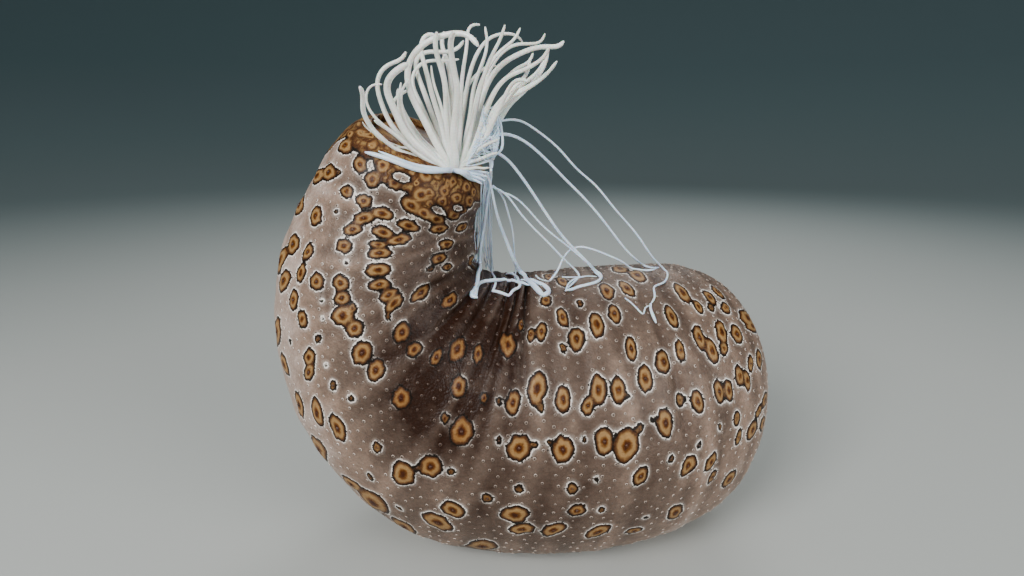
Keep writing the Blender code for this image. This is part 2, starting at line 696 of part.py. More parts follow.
def main():
    for leftover in list(bpy.data.objects):
        bpy.data.objects.remove(leftover)
    for name in (PARTS, PIECES):
        bpy.context.scene.collection.children.link(bpy.data.collections.new(name))
    finishes = {name: material(name) for name in FINISHES}
    start = 0
    for name, end in PART_ENDS:
        add_part(name, loft(body_rings(start, end)), finishes["skin"])
        start = end
    anal_end(start, finishes["anal_skin"])
    mouth(bpy.data.objects["mouth_end"], finishes["mouth"])
    sole(finishes["sole"])
    skin = skin_tree(loft(body_rings(0, BODY_LENGTH) + crater_rings()))
    tubule_fan(skin, finishes["tubules"])
    threads("threads_spanning", SPANNING, skin, finishes["threads"])
    threads("threads_hanging", HANGING, skin, finishes["threads"])
    for part in bpy.data.collections[PARTS].objects:
        part.data.shade_smooth()
        part.data.set_sharp_from_angle(angle=SHARP_ANGLE)
    bpy.data.collections.remove(bpy.data.collections[PIECES])


main()
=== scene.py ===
# %% [markdown]
# # A leopard sea cucumber
# The animal lies on its creeping sole, with its hind end raised, and has thrown its sticky
# white tubules out of the anus. The solids of the model hold its shape. This lesson gives
# it one unbroken skin with its eye spots, the small papillae on it, the mouth, the tube
# feet, and every tubule and thread.

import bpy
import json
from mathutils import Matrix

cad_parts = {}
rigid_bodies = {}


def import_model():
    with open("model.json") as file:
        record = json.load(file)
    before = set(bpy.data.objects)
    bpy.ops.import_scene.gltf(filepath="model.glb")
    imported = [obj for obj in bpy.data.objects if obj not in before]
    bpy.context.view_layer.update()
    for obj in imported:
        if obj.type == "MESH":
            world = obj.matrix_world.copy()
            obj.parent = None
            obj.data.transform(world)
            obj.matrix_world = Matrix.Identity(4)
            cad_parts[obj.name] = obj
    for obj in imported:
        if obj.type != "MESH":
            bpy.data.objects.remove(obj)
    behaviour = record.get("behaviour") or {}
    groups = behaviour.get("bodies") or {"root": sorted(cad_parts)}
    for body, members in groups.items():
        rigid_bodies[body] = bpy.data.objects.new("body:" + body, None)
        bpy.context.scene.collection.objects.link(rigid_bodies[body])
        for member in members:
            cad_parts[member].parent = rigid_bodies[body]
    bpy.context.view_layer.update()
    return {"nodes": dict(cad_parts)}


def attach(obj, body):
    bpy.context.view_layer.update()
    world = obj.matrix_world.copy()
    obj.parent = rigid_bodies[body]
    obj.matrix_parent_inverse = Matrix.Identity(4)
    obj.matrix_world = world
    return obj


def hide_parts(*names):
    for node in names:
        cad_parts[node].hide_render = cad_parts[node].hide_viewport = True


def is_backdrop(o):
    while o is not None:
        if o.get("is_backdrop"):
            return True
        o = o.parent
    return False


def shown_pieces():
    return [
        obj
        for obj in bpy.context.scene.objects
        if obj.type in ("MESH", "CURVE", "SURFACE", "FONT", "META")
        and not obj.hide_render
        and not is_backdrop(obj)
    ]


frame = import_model()
print("solids:", sorted(frame["nodes"]))

# %% Modules and units
import json
import math

import bmesh
import bpy
import numpy as np
from mathutils import Vector
from mathutils.bvhtree import BVHTree

MM = 0.001
scene = bpy.context.scene

# %% [markdown]
# ## The camera
# The camera comes first, because the eye spots are placed by where they are seen. It stands
# 230 mm in front of the body's middle and looks a little down. Its focal length is given in
# pixels of a picture 1024 wide, which the sensor's width turns into millimetres.

# %% Camera
EYE = np.array([0.0, -230.0, 170.0])
PITCH = math.radians(15.64)
FOCAL_PIXELS = 600
PICTURE_WIDTH, PICTURE_HEIGHT = 1024, 576
SENSOR_WIDTH = 36
NEAREST_SEEN = 10         # mm in front of the camera

camera = bpy.data.objects.new("camera", bpy.data.cameras.new("camera"))
camera.data.sensor_width = SENSOR_WIDTH
camera.data.lens = SENSOR_WIDTH * FOCAL_PIXELS / PICTURE_WIDTH
camera.data.clip_start = NEAREST_SEEN * MM
camera.location = Vector(EYE) * MM
camera.rotation_euler = (math.pi / 2 - PITCH, 0, 0)
scene.collection.objects.link(camera)
scene.camera = camera


def sight(x, y):
    """Direction in which a pixel is seen, one unit deep."""
    right = (x - PICTURE_WIDTH / 2) / FOCAL_PIXELS
    up = (PICTURE_HEIGHT / 2 - y) / FOCAL_PIXELS
    return np.array([right, math.cos(PITCH) + up * math.sin(PITCH),
                     up * math.cos(PITCH) - math.sin(PITCH)])


def at_depth(x, y, depth):
    """Place where a pixel's line of sight meets the upright plane at a depth."""
    ray = sight(x, y)
    return EYE + ray * ((depth - EYE[1]) / ray[1])


print("lens", round(camera.data.lens, 2), "mm")

# %% [markdown]
# ## The body line
# A soft body has no edges to measure, so it is described as sections strung along a bent
# line, from the mouth end to the anal end. Each station gives a section's centre, the lean
# of its back, its half width, the height of its back and the depth of its belly. A smooth
# spline fills in the rest. Lengths are in millimetres here, and become metres in the mesh.

# %% Stations of the body
STATIONS = np.array([
    (105, 34, 54, 14, 42, 48, 37),
    (86, 27, 54, 6, 46, 54, 49),
    (58, 13, 53, 1, 52, 58, 57),
    (28, 3, 52, 3, 55, 60, 57),
    (2, 0, 52, 10, 52, 60, 57),
    (-22, 0, 58, 25, 51, 58, 57),
    (-40, -1, 76, 45, 47, 49, 53),
    (-49, -1, 98, 64, 43, 40, 47),
    (-50, -1, 120, 82, 39, 37, 40),
    (-46, -2, 140, 99, 34, 33, 31),
    (-33, -8, 162, 116, 27, 29, 25),
], float)
FINE_STATIONS = 4001
BELLY_LEVEL = 2.4         # mm above the floor
DOME_LENGTH = 42          # of the rounded mouth end
SHOULDER_LENGTH = 12      # over which the body narrows to the anus
SHOULDER_NARROWING = 0.22
LEAST_REACH = 3           # a section is taken to be no smaller, where a fold shrinks it


def spline(knots, values, at):
    """Natural cubic spline through rows of values at rising knots, read at at."""
    count = len(values)
    gaps = np.diff(knots)
    system = np.eye(count)
    bend = np.zeros((count, values.shape[1]))
    for row in range(1, count - 1):
        before, after = gaps[row - 1], gaps[row]
        system[row, row - 1:row + 2] = before, 2 * (before + after), after
        slopes = np.diff(values[row - 1:row + 2], axis=0) / [[before], [after]]
        bend[row] = 6 * (slopes[1] - slopes[0])
    curvature = np.linalg.solve(system, bend)
    low = np.clip(np.searchsorted(knots, at, "right") - 1, 0, count - 2)
    gap = gaps[low][:, None]
    share = (at - knots[low])[:, None] / gap
    straight = (1 - share) * values[low] + share * values[low + 1]
    pull = (2 - share) * curvature[low] + (1 + share) * curvature[low + 1]
    return straight - gap ** 2 * share * (1 - share) * pull / 6


def unit(vectors):
    return vectors / np.linalg.norm(vectors, axis=-1, keepdims=True)


fine = spline(np.arange(len(STATIONS)), STATIONS,
              np.linspace(0, len(STATIONS) - 1, FINE_STATIONS))
fine_length = np.concatenate(
    ([0], np.cumsum(np.linalg.norm(np.diff(fine[:, :3], axis=0), axis=1))))
fine_heading = np.gradient(fine[:, :3], axis=0)
BODY_LENGTH = fine_length[-1]


def read_line(table, lengths):
    return np.stack([np.interp(lengths, fine_length, column) for column in table.T], axis=-1)


print("body line", round(BODY_LENGTH, 1), "mm")

# %% [markdown]
# ## Folds
# Where the body bends up, the skin is gathered into folds that fan out from the crook. Each
# fold is a shallow groove from one place to another. A place on the body is a length along
# it and an angle round it: 90 is the middle of the back, 180 the viewer's side. Each row
# has the length and angle where a fold starts, those where it ends, its depth and width.

# %% Folds of the skin
FOLDS = (
    (126, 84, 114.4, 150, 2.4, 1.9),
    (96, 100, 95, 148, 1.4, 2.0),
    (71, 112, 65, 188, 1.7, 1.9),
    (140, 70, 127, 142, 1.8, 2.8),
    (152, 62, 137, 150, 1.8, 3.0),
    (165, 58, 157, 160, 2.2, 3.2),
    (174, 50, 172, 162, 2.2, 3.2),
    (187, 56, 195, 158, 1.7, 3.2),
    (133, 20, 128, 66, 1.2, 3.0),
    (106, 10, 110, 70, 1.4, 2.8),
    (82, 0, 84, 66, 1.2, 2.8),
    (160, 6, 163, 60, 1.5, 3.0),
    (196, 4, 188, 60, 1.4, 3.2),
)


def fold_depth(lengths, degrees):
    """Depth of the folds at places on the body."""
    total = np.zeros(np.broadcast(lengths, degrees).shape)
    for start, low, end, high, depth, width in FOLDS:
        share = np.clip((degrees - low) / (high - low), 0, 1)
        across = (lengths - start - share * (end - start)) / width
        total += depth * np.exp(-across ** 2) * np.sin(math.pi * share) ** 0.5
    return total


def skin_points(lengths, degrees, share=None, rise=0.0):
    """Places on the skin: sized by share, raised along the heading."""
    lengths, degrees = np.broadcast_arrays(np.asarray(lengths, float),
                                           np.asarray(degrees, float))
    values = read_line(fine, lengths)
    heading = unit(read_line(fine_heading, lengths))
    side = np.zeros_like(heading)
    side[..., 1] = 1
    side = unit(side - heading[..., 1:2] * heading)
    lean = np.radians(values[..., 3])
    back = np.stack([np.sin(lean), np.zeros_like(lean), np.cos(lean)], axis=-1)
    back = unit(back - (back * side).sum(-1, keepdims=True) * side)
    heading = np.cross(back, side)
    if share is None:
        to_dome = 1 - np.minimum(lengths / DOME_LENGTH, 1)
        to_end = 1 - np.minimum((BODY_LENGTH - lengths) / SHOULDER_LENGTH, 1)
        share = np.sqrt(1 - to_dome ** 2)
        share = share * (1 - SHOULDER_NARROWING * (1 - np.sqrt(1 - to_end ** 2)))
    angle = np.radians(degrees)
    reach = np.where(np.sin(angle) >= 0, values[..., 5], values[..., 6])
    offset = (values[..., 4] * share * np.cos(angle))[..., None] * side
    offset = offset + (reach * share * np.sin(angle))[..., None] * back
    size = np.linalg.norm(offset, axis=-1)
    shrink = 1 - fold_depth(lengths, degrees) / np.maximum(size, LEAST_REACH)
    bottom = values[..., 2] + offset[..., 2] * shrink
    room = (values[..., 2] - BELLY_LEVEL) / np.maximum(values[..., 2] - bottom, 0.01)
    shrink = np.where(bottom < BELLY_LEVEL, shrink * room, shrink)
    return values[..., :3] + offset * shrink[..., None] + rise * heading


def heading_at_end():
    """Centre of the anus, and the direction in which it faces."""
    centre = skin_points(BODY_LENGTH, 0, 0.0)
    return centre, unit(skin_points(BODY_LENGTH, 0, 0.0, 1.0) - centre)


ANUS, ANUS_HEADING = heading_at_end()
print("folds", len(FOLDS), "anus at", ANUS.round(1))

# %% [markdown]
# ## A grid for the skin
# The skin is one grid of rings wrapped round the body line. It is fine, about 1 mm between
# points, because the markings are stored on its points. The mouth end closes in a pole. At
# the anal end the last rings turn over a lip and go down into the anus.

# %% Grid of the skin
SKIN_SIDES = 376
DOME_RINGS = 46
RING_STEP = 1.02
LIP_STEP = 0.3            # least length given to a ring of the lip
# Rings of the lip: the share of the section's size, and the rise along the heading.
LIP = ((0.778, 0.45), (0.768, 0.8), (0.755, 1.0), (0.74, 0.95), (0.725, 0.6), (0.712, -0.1),
       (0.705, -1.2), (0.70, -2.6), (0.69, -6.0), (0.68, -12.0))


def skin_grid():
    """Rings of points, with the length along the body and the angle of each."""
    turns = np.linspace(0, math.pi / 2, DOME_RINGS + 1)[1:]
    dome = DOME_LENGTH * (1 - np.cos(turns))
    count = round((BODY_LENGTH - DOME_LENGTH) / RING_STEP)
    lengths = np.concatenate([dome, np.linspace(DOME_LENGTH, BODY_LENGTH, count + 1)[1:]])
    degrees = np.arange(SKIN_SIDES) * 360 / SKIN_SIDES
    rings = [skin_points(lengths[:, None], degrees[None, :])]
    for share, rise in LIP:
        rings.append(skin_points(BODY_LENGTH, degrees[None, :], share, rise))
    lip_lengths = BODY_LENGTH + np.array([max(LIP_STEP * (i + 1), -rise)
                                          for i, (_, rise) in enumerate(LIP)])
    return np.concatenate(rings), np.concatenate([lengths, lip_lengths]), degrees


grid, ring_lengths, ring_degrees = skin_grid()
print("skin grid", grid.shape[:2])


def grid_normals(points):
    """Outward directions of a grid's points."""
    along = np.gradient(points, axis=0)
    round_it = np.roll(points, -1, axis=1) - np.roll(points, 1, axis=1)
    normals = unit(np.cross(round_it, along))
    outward = (normals * (points - points.mean(axis=1, keepdims=True))).sum()
    return normals if outward > 0 else -normals


def grid_faces(rows, sides):
    """Quads between the rings, and fans to the poles at the two ends."""
    ring, turn = np.meshgrid(np.arange(rows - 1), np.arange(sides), indexing="ij")
    ring, turn = ring.ravel(), turn.ravel()
    after = (turn + 1) % sides
    quads = np.stack([ring * sides + turn, ring * sides + after,
                      (ring + 1) * sides + after, (ring + 1) * sides + turn], axis=1)
    first, last = rows * sides, rows * sides + 1
    top = (rows - 1) * sides
    fans = [(first, (i + 1) % sides, i) for i in range(sides)]
    fans += [(last, top + i, top + (i + 1) % sides) for i in range(sides)]
    return quads.tolist() + fans


def faces_outwards(points, faces):
    """The faces, turned round if they face into the closed body that they bound."""
    inside = 0.0
    for face in faces:
        first, second, third = points[face[0]], points[face[1]], points[face[2]]
        inside += np.dot(first, np.cross(second, third))
    return faces if inside > 0 else [face[::-1] for face in faces]


# %% [markdown]
# ## Where the camera looks
# A search tree over the plain skin tells where a line of sight first meets it. An eye spot
# is seen as an ellipse in the picture. Two short steps in the picture show how the surface
# is foreshortened there, and undoing that gives the spot's true shape on the skin.

# %% Search tree over the skin
plain_points = grid.reshape(-1, 3)
faces = grid_faces(*grid.shape[:2])
poles = [skin_points(0.0, 0.0, 0.0), skin_points(BODY_LENGTH, 0.0, 0.0, LIP[-1][1])]
plain_points = np.concatenate([plain_points, poles])
faces = faces_outwards(plain_points, faces)
skin_tree = BVHTree.FromPolygons([tuple(point) for point in plain_points], faces)
normals = grid_normals(grid)


def seen_on_skin(x, y):
    """Place and outward direction of the skin that a pixel shows, or None."""
    place, normal, _, _ = skin_tree.ray_cast(Vector(EYE), Vector(sight(x, y)))
    if place is None:
        return None
    return np.array(place), np.array(normal)


def tangents(normal):
    """Two directions along a surface, square to each other."""
    across = unit(np.cross(normal, (0.0, 0.0, 1.0)))
    return across, np.cross(normal, across)


# %% [markdown]
# ## Eye spots
# The spots that the camera sees are listed: the pixel of the centre, the half width and half
# height in pixels, and the lean of the tall axis in degrees. They run from the raised end down to
# the front of the body. The rest of the body gets spots of like sizes at random places, drawn with
# a fixed seed.

# %% Spots that the camera sees
SPOTS_RAISED = (
    (318, 176.5, 4, 9.5, 30), (328.5, 172, 6.5, 9, 20), (338, 172, 3, 3, 0),
    (345.5, 146, 7, 8.5, 35), (299.5, 205, 3.5, 11, 20), (316, 216, 6, 10, 8),
    (336, 211.5, 2, 2, 0), (347, 191.5, 6.5, 7, 0), (360.5, 164.5, 8, 9, 0),
    (372.5, 179.5, 8.5, 9, 0), (364, 201, 7, 9, -55), (382.5, 213.5, 6.5, 12, -75),
    (364, 218, 7, 12, 72), (352.5, 229.5, 6.5, 10, 72), (408.5, 225.5, 6, 12, -72),
    (383, 232.5, 6.5, 12, -70), (399, 239.5, 6, 14, 80), (378, 244.5, 4.5, 10, -85),
    (379.5, 253, 6, 13, 85), (344, 246, 8.5, 7.5, 0), (346.5, 262.5, 2, 2, 0),
    (293, 244, 5.5, 11, 15), (281.5, 260.5, 3.5, 14, 18), (308, 252, 5, 9, 18),
    (301.5, 273, 4.5, 10, 18), (284, 281, 5, 12, 15), (293.5, 300, 4.5, 11, 5),
    (303, 319, 5, 9.5, -12), (316.5, 281.5, 7.5, 9, 15), (340.5, 283, 9, 8.5, 30),
    (342, 298, 8.5, 8, 0), (343, 315.5, 11.5, 11, 0), (352.5, 308, 5, 5, 0),
    (354.5, 328.5, 9, 9.5, 0), (318, 338.5, 3.5, 4, 0), (321.5, 301, 1.5, 1.5, 0),
    (323, 318, 1.5, 1.5, 0), (378, 270, 7, 14, 85), (379.5, 284.5, 6.5, 11.5, 80),
    (388.5, 295, 7, 10, 60), (394, 303, 6.5, 12, 50), (388, 316.5, 2.5, 4, 0),
    (446, 244.5, 5, 8.5, 75), (420.5, 293, 6, 12, 50), (449.5, 300.5, 6, 12.5, 50),
    (439, 258.5, 5, 9, 65), (447, 267, 3.3, 5.5, 65), (430.5, 269, 2.5, 4, 70),
)
SPOTS_RIM = (
    (373, 145, 6, 6, 0), (362.5, 133, 6, 5, 0), (383, 166, 8, 7, 0), (394.6, 183.4, 7, 8, -50),
    (411.4, 205.6, 8, 12, -60), (423.7, 213.3, 6, 9, -60), (436, 218.6, 6, 10, -65),
    (421.4, 195, 8, 11, -70), (429, 192.6, 5, 7, -60), (416, 183.4, 3.5, 4, 0),
    (425, 176.5, 6, 8, -70), (436.7, 175, 5, 7, -70), (444.3, 191, 6, 6, 0),
    (456.6, 198, 6, 6, 0), (453.5, 214.8, 7, 6, 0), (442, 201.8, 6, 6, 0),
    (439, 228.6, 5, 11, 80), (462, 227, 4, 8, 60), (469.6, 201, 5, 7, 20),
    (466.5, 187.3, 5, 6, 0), (400.7, 165.8, 6, 8, -75), (453, 181, 5, 6, 0),
    (371, 136.5, 4, 4, 0), (360, 124.5, 4, 4, 0), (369.5, 126.5, 3.5, 3.5, 0),
    (379, 132, 4, 4, 0), (385.5, 143.5, 4, 4.5, 0), (351, 134.5, 3.5, 4.5, 40),
    (430, 204, 4, 5, -65), (447.5, 183, 3.5, 4, 0), (412, 172.5, 4, 5, -70),
    (467, 176.5, 3.5, 4, 0), (462, 209.5, 4.5, 4.5, 0), (473.5, 192, 3, 5, 0),
)
SPOTS_BEND = (
    (277.5, 332, 3, 14, 0), (284.5, 364, 3, 12, -15), (310, 357, 6, 9, 5),
    (309, 372, 5.5, 9, 15), (326, 365, 1.5, 2, -20), (290, 341.5, 1.2, 3, -10),
    (362, 353, 10.5, 12.5, 25), (376, 370, 9, 11.5, 20), (333, 385.5, 3.2, 5.5, 0),
    (352, 398, 3.3, 3.3, 0), (401.5, 398, 10, 11.5, 10), (402, 332.5, 8.5, 11.5, 35),
    (414, 349.5, 7, 9.5, 40), (436.5, 357, 5.5, 10, 25), (457, 349.5, 8, 13.5, 25),
    (478, 354, 5.5, 10, 8), (458.8, 386.8, 8.5, 11.5, 10), (484, 398, 4, 6, 5),
    (498.8, 401, 3, 4.2, 0), (445, 418, 4.5, 5.5, 0), (461.5, 431.5, 12, 15, 12),
    (499, 440.5, 2.8, 4.3, 20), (377, 447.5, 4.3, 5.8, -25), (403.5, 473.5, 11.5, 12.5, -35),
    (430.5, 466.5, 12, 11, 0), (417, 467.5, 3.5, 3, 0), (451, 471.5, 3.8, 3.5, 0),
    (370, 477, 2.2, 4.5, -35), (337.5, 428, 7, 14.5, -22), (317.5, 412, 5, 18.5, -15),
    (299, 405, 3, 15.5, -15), (319, 449, 3.5, 15, -33), (351.5, 484, 3.5, 12, -52),
    (373.5, 501.5, 6.5, 18.5, -53), (399, 508.5, 1.3, 3.5, -60), (404, 526.5, 3, 14, -60),
    (437.7, 522, 6.5, 17, -65), (453, 509.5, 7, 13.5, -72), (487.3, 498.5, 5.8, 4.3, 0),
    (515, 514, 14, 8.5, 0), (522, 528.5, 13, 5.5, 0), (519, 488.7, 4.3, 4.6, 0),
    (482, 546, 16, 4.5, 0), (471, 261, 5, 6.5, 0),
)
SPOTS_FRONT = (
    (508.5, 345.5, 7, 12, 5), (513, 402.8, 7.5, 13, 10), (519, 448, 12, 14, 20),
    (534, 444.5, 4, 3.5, 0), (521.5, 324.5, 3.5, 10, 5), (531, 335, 4, 7.5, 5),
    (541.3, 331.7, 5.8, 9.8, 8), (563, 348, 3.3, 5.3, -20), (576.5, 339, 7.5, 12.5, -9),
    (596.7, 325, 7.2, 13, -18), (562.5, 317.3, 5.8, 11, -14), (546, 300.5, 6, 5.5, 0),
    (548.7, 276.7, 5, 3.5, 0), (562.5, 281.3, 4.5, 7.5, -60), (580, 303.5, 3, 4, -10),
    (606.8, 290.5, 6, 10, -40), (614.5, 313.5, 5.8, 10.5, -18), (626.5, 288.3, 4.8, 11, -48),
    (637.3, 275.8, 5, 10, -62), (620, 269.5, 3.5, 9, -85), (631.2, 348.5, 5.7, 12.3, -12),
    (663.5, 361.5, 6.3, 12.7, -12), (671.5, 316.4, 5.3, 13, -28), (682, 293, 5, 12.5, -40),
    (698, 307, 3.5, 8.5, -32), (709.7, 297.2, 3.5, 9.5, -42), (711, 307.5, 3, 5, -30),
    (717.5, 292, 2.5, 10, -48), (725.5, 308, 4, 7, -30), (680.2, 350.6, 4.6, 13, -12),
    (699.3, 337.6, 5, 13, -22), (711.5, 351, 5.5, 13.5, -22), (721, 332, 5.5, 12.5, -18),
    (723.3, 348.5, 4, 8, -5), (736.6, 334, 5, 10.5, -25), (747, 318, 4.5, 10, -35),
    (751.8, 326.5, 4, 8, -35), (750.3, 363.8, 2.6, 9.5, -3), (759, 359.5, 3, 10, -4),
    (738.6, 376, 4.2, 11.5, -8), (746.4, 380.5, 3.8, 11, -8), (719.2, 391.7, 5, 12.3, -8),
    (728.1, 390.4, 4.2, 12.2, -8), (764.5, 400, 2.8, 8, 12), (758.3, 411.3, 2.2, 8, 20),
    (762.5, 423.4, 2.6, 8.5, 12), (752, 430, 4.6, 11.3, 25), (736.4, 418.4, 3.3, 8, 5),
    (738.3, 437, 2.6, 9.5, 15), (720, 427, 1.5, 6, 5), (679, 400, 3.8, 7, -5),
    (697.5, 401.8, 6, 12.6, -12), (665, 423, 8, 15.2, -5), (653, 419.5, 2.3, 3, 0),
    (645.3, 378.5, 7.2, 14.5, -6), (618.2, 390.4, 7.5, 14.5, -10), (628.6, 396, 2.2, 2.2, 0),
    (598.5, 389.8, 8.3, 16.5, -4), (588, 405.7, 6.5, 11, 12), (562.8, 399.4, 8, 14, 2),
    (537.3, 388.5, 9.8, 17.5, 6), (540.7, 407, 3, 6, 0), (562.8, 449.5, 11, 14, 0),
    (550, 442, 3, 3, 0), (584.2, 439.6, 2.2, 3.3, 0), (604.3, 441.5, 10, 14, 5),
    (626.3, 445.3, 12, 18.5, 8), (639, 428.7, 4, 6, 20), (640.6, 476.3, 7, 10.5, 30),
    (671.2, 458.7, 2.5, 4.5, 25), (687.5, 465.4, 5.7, 12, 26), (699.3, 445.3, 1.8, 4.5, 12),
    (710.8, 461.6, 4.3, 11.3, 30), (712.4, 477, 2.8, 8.5, 30), (729, 479, 3.8, 10.7, 38),
    (596.6, 479.7, 2.2, 3.2, 20), (572.3, 488.7, 5.4, 6.3, 20), (577, 510.4, 5.8, 9.3, 72),
    (553.6, 529.5, 5.3, 14, 74), (601.4, 509.8, 2.4, 4.2, 60), (597.6, 531.4, 4.5, 14.5, 68),
    (645.8, 517.4, 1.2, 3.2, 68), (675, 512, 5.5, 9.5, 45), (634, 531, 2.5, 9, 75),
)
# Brown that fills in between the spots round the anus, and islands of plain skin in it.
RIM_FILL = (
    (366, 137, 7, 12, 60), (387, 172, 11, 12, 0), (405, 178, 12, 16, -60),
    (428, 186, 16, 26, -70), (425, 207, 9, 24, -65), (455, 198, 14, 18, 0),
)
RIM_ISLANDS = ((401.5, 177.5, 4.5, 9.5, -72), (437.5, 210, 3.5, 8.5, -65),
               (457.5, 208, 3, 6, -80), (370, 164, 2.4, 5.5, 15))
WIDEST_STRETCH = 2.1      # of a spot's length over its width

# %% Shapes of the spots on the skin


def spot_frame(spot):
    """A spot's centre, its directions, and the matrix that makes it a unit circle."""
    x, y, half_width, half_height, lean = spot
    found = seen_on_skin(x, y)
    if found is None:
        return None
    place, normal = found
    across, along = tangents(normal)

    def pixel(point):
        ray = point - EYE
        up = np.array([0.0, math.sin(PITCH), math.cos(PITCH)])
        ahead = np.array([0.0, math.cos(PITCH), -math.sin(PITCH)])
        return FOCAL_PIXELS * np.array([ray[0], -(ray @ up)]) / (ray @ ahead)

    here = pixel(place)
    view = np.stack([pixel(place + across) - here, pixel(place + along) - here], axis=1)
    turn = math.radians(lean)
    tall = half_height * np.array([math.sin(turn), -math.cos(turn)])
    wide = half_width * np.array([math.cos(turn), math.sin(turn)])
    shape = np.linalg.solve(view, np.stack([wide, tall], axis=1))
    left, sizes, _ = np.linalg.svd(shape)
    sizes[0] = min(sizes[0], sizes[1] * WIDEST_STRETCH)
    return place, across, along, np.linalg.inv(left @ np.diag(sizes)), sizes


seen_spots, missed = [], 0
for listed in (SPOTS_RAISED, SPOTS_RIM, SPOTS_BEND, SPOTS_FRONT):
    for spot in listed:
        found = spot_frame(spot)
        if found is None:
            missed += 1
            print("off the body:", spot[:2])
        else:
            seen_spots.append(found)
rim_fill = [found for found in map(spot_frame, RIM_FILL) if found]
rim_islands = [found for found in map(spot_frame, RIM_ISLANDS) if found]
sizes = np.array([spot[4].mean() for spot in seen_spots])
print("spots seen", len(seen_spots), "missed", missed, "mean radius", sizes.mean().round(2))

# %% [markdown]
# ## Spots where the camera doesn't look
# The far side is filled by throwing darts: a random place is kept if the camera can't see
# it and no other spot is near. The belly under the body has none.

# %% Spots on the far side
draw = np.random.default_rng(11)
DARTS = 6000
BELLY_ANGLE = 62          # half of the angle round the belly that stays plain
BELLY_END = 175           # length up to which the body has a plain belly
SPOT_DISTANCE = 11.6
CROWDED = 17              # mm before the anus where the spots crowd
CROWDED_SHARE = 0.58      # of the usual distance
SMALL_SPOT_SHARE = 0.30
SMALL_SIZES, LARGE_SIZES = (1.0, 2.2), (2.9, 4.6)
TWIN_SHARE = 0.25         # of the larger spots that have a smaller one touching them
TWIN_REACH, TWIN_SIZES = 1.5, (0.5, 0.8)
STRETCHES = (1.0, 1.5)
HIDDEN_ROOM, TWIN_ROOM = 5.0, 3.5   # mm round a middle that the camera must not see


def hidden_from_camera(place, normal, size):
    """Whether the camera sees neither a spot's middle nor its outline."""
    across, along = tangents(normal)
    for turn in np.radians(range(0, 360, 60)):
        beside = math.cos(turn) * across + math.sin(turn) * along
        for reach in (0.2, 1.3):
            point, outward = skin_tree.find_nearest(Vector(place + reach * size * beside))[:2]
            to_eye = Vector(EYE) - point
            if outward.dot(to_eye) < 0:
                continue
            if skin_tree.ray_cast(point + outward * 0.3, to_eye.normalized())[0] is None:
                return False
    return True


def far_spots():
    taken = [spot[0] for spot in seen_spots]
    found = []
    for _ in range(DARTS):
        length = draw.uniform(10, BODY_LENGTH - 1)
        degrees = draw.uniform(0, 360)
        from_belly = abs((degrees - 270 + 180) % 360 - 180)
        if length < BELLY_END and from_belly < BELLY_ANGLE:
            continue
        place = skin_points(length, degrees)
        near_rim = length > BODY_LENGTH - CROWDED
        room = SPOT_DISTANCE * (CROWDED_SHARE if near_rim else 1)
        if np.min(np.linalg.norm(np.array(taken) - place, axis=1)) < room:
            continue
        normal = np.array(skin_tree.find_nearest(Vector(place))[1])
        if not hidden_from_camera(place, normal, HIDDEN_ROOM):
            continue
        small = draw.random() < SMALL_SPOT_SHARE and not near_rim
        size = draw.uniform(*(SMALL_SIZES if small else LARGE_SIZES))
        stretch = draw.uniform(*STRETCHES)
        across, along = tangents(normal)
        turn = draw.uniform(0, math.pi)
        basis = np.array([[math.cos(turn), -math.sin(turn)], [math.sin(turn), math.cos(turn)]])
        radii = np.array([size * stretch ** 0.5, size / stretch ** 0.5])
        found.append((place, across, along, np.linalg.inv(basis @ np.diag(radii)), radii))
        taken.append(place)
        if not small and draw.random() < TWIN_SHARE:
            way = draw.uniform(0, 2 * math.pi)
            beside = math.cos(way) * across + math.sin(way) * along
            twin = skin_tree.find_nearest(Vector(place + TWIN_REACH * size * beside))[:2]
            twin_place, twin_normal = np.array(twin[0]), np.array(twin[1])
            if not hidden_from_camera(twin_place, twin_normal, TWIN_ROOM):
                continue
            twin_radii = radii * draw.uniform(*TWIN_SIZES)
            twin_shape = np.linalg.inv(basis @ np.diag(twin_radii))
            found.append((twin_place, *tangents(twin_normal), twin_shape, twin_radii))
            taken.append(twin_place)
    return found


hidden_spots = far_spots()
all_spots = seen_spots + hidden_spots
print("spots on the far side", len(hidden_spots))

# %% [markdown]
# ## Markings as distances
# Every ring of an eye spot follows its outline, so the skin stores one number at each
# point: how far it is, in millimetres, outside the nearest outline. Spots that nearly touch
# flow together, as the real ones do, because their distances are blended by a smooth
# minimum. A second number tells how far out from a spot's middle the point lies, and a
# third how far out it is from the next nearest one, which shows where two spots meet.

# %% Distances from the spots
BLEND = 1.1               # mm, over which two outlines flow together
FAR = 9.0                 # mm, where nothing is near
RIM_BAND = 15.0           # mm of brown below the anus on the far side
NEAR_RIM_BAND = 4.0       # and on the camera's side, where it is listed spot by spot
ROUGH_LARGE, ROUGH_SMALL = 0.08, 0.12
WOBBLES = range(2, 9)     # waves round a spot's outline
TURN = 6.28               # about one turn in radians, for random phases


def smooth_minimum(first, second, blend):
    share = np.clip(0.5 + 0.5 * (second - first) / blend, 0, 1)
    return second * (1 - share) + first * share - blend * share * (1 - share)


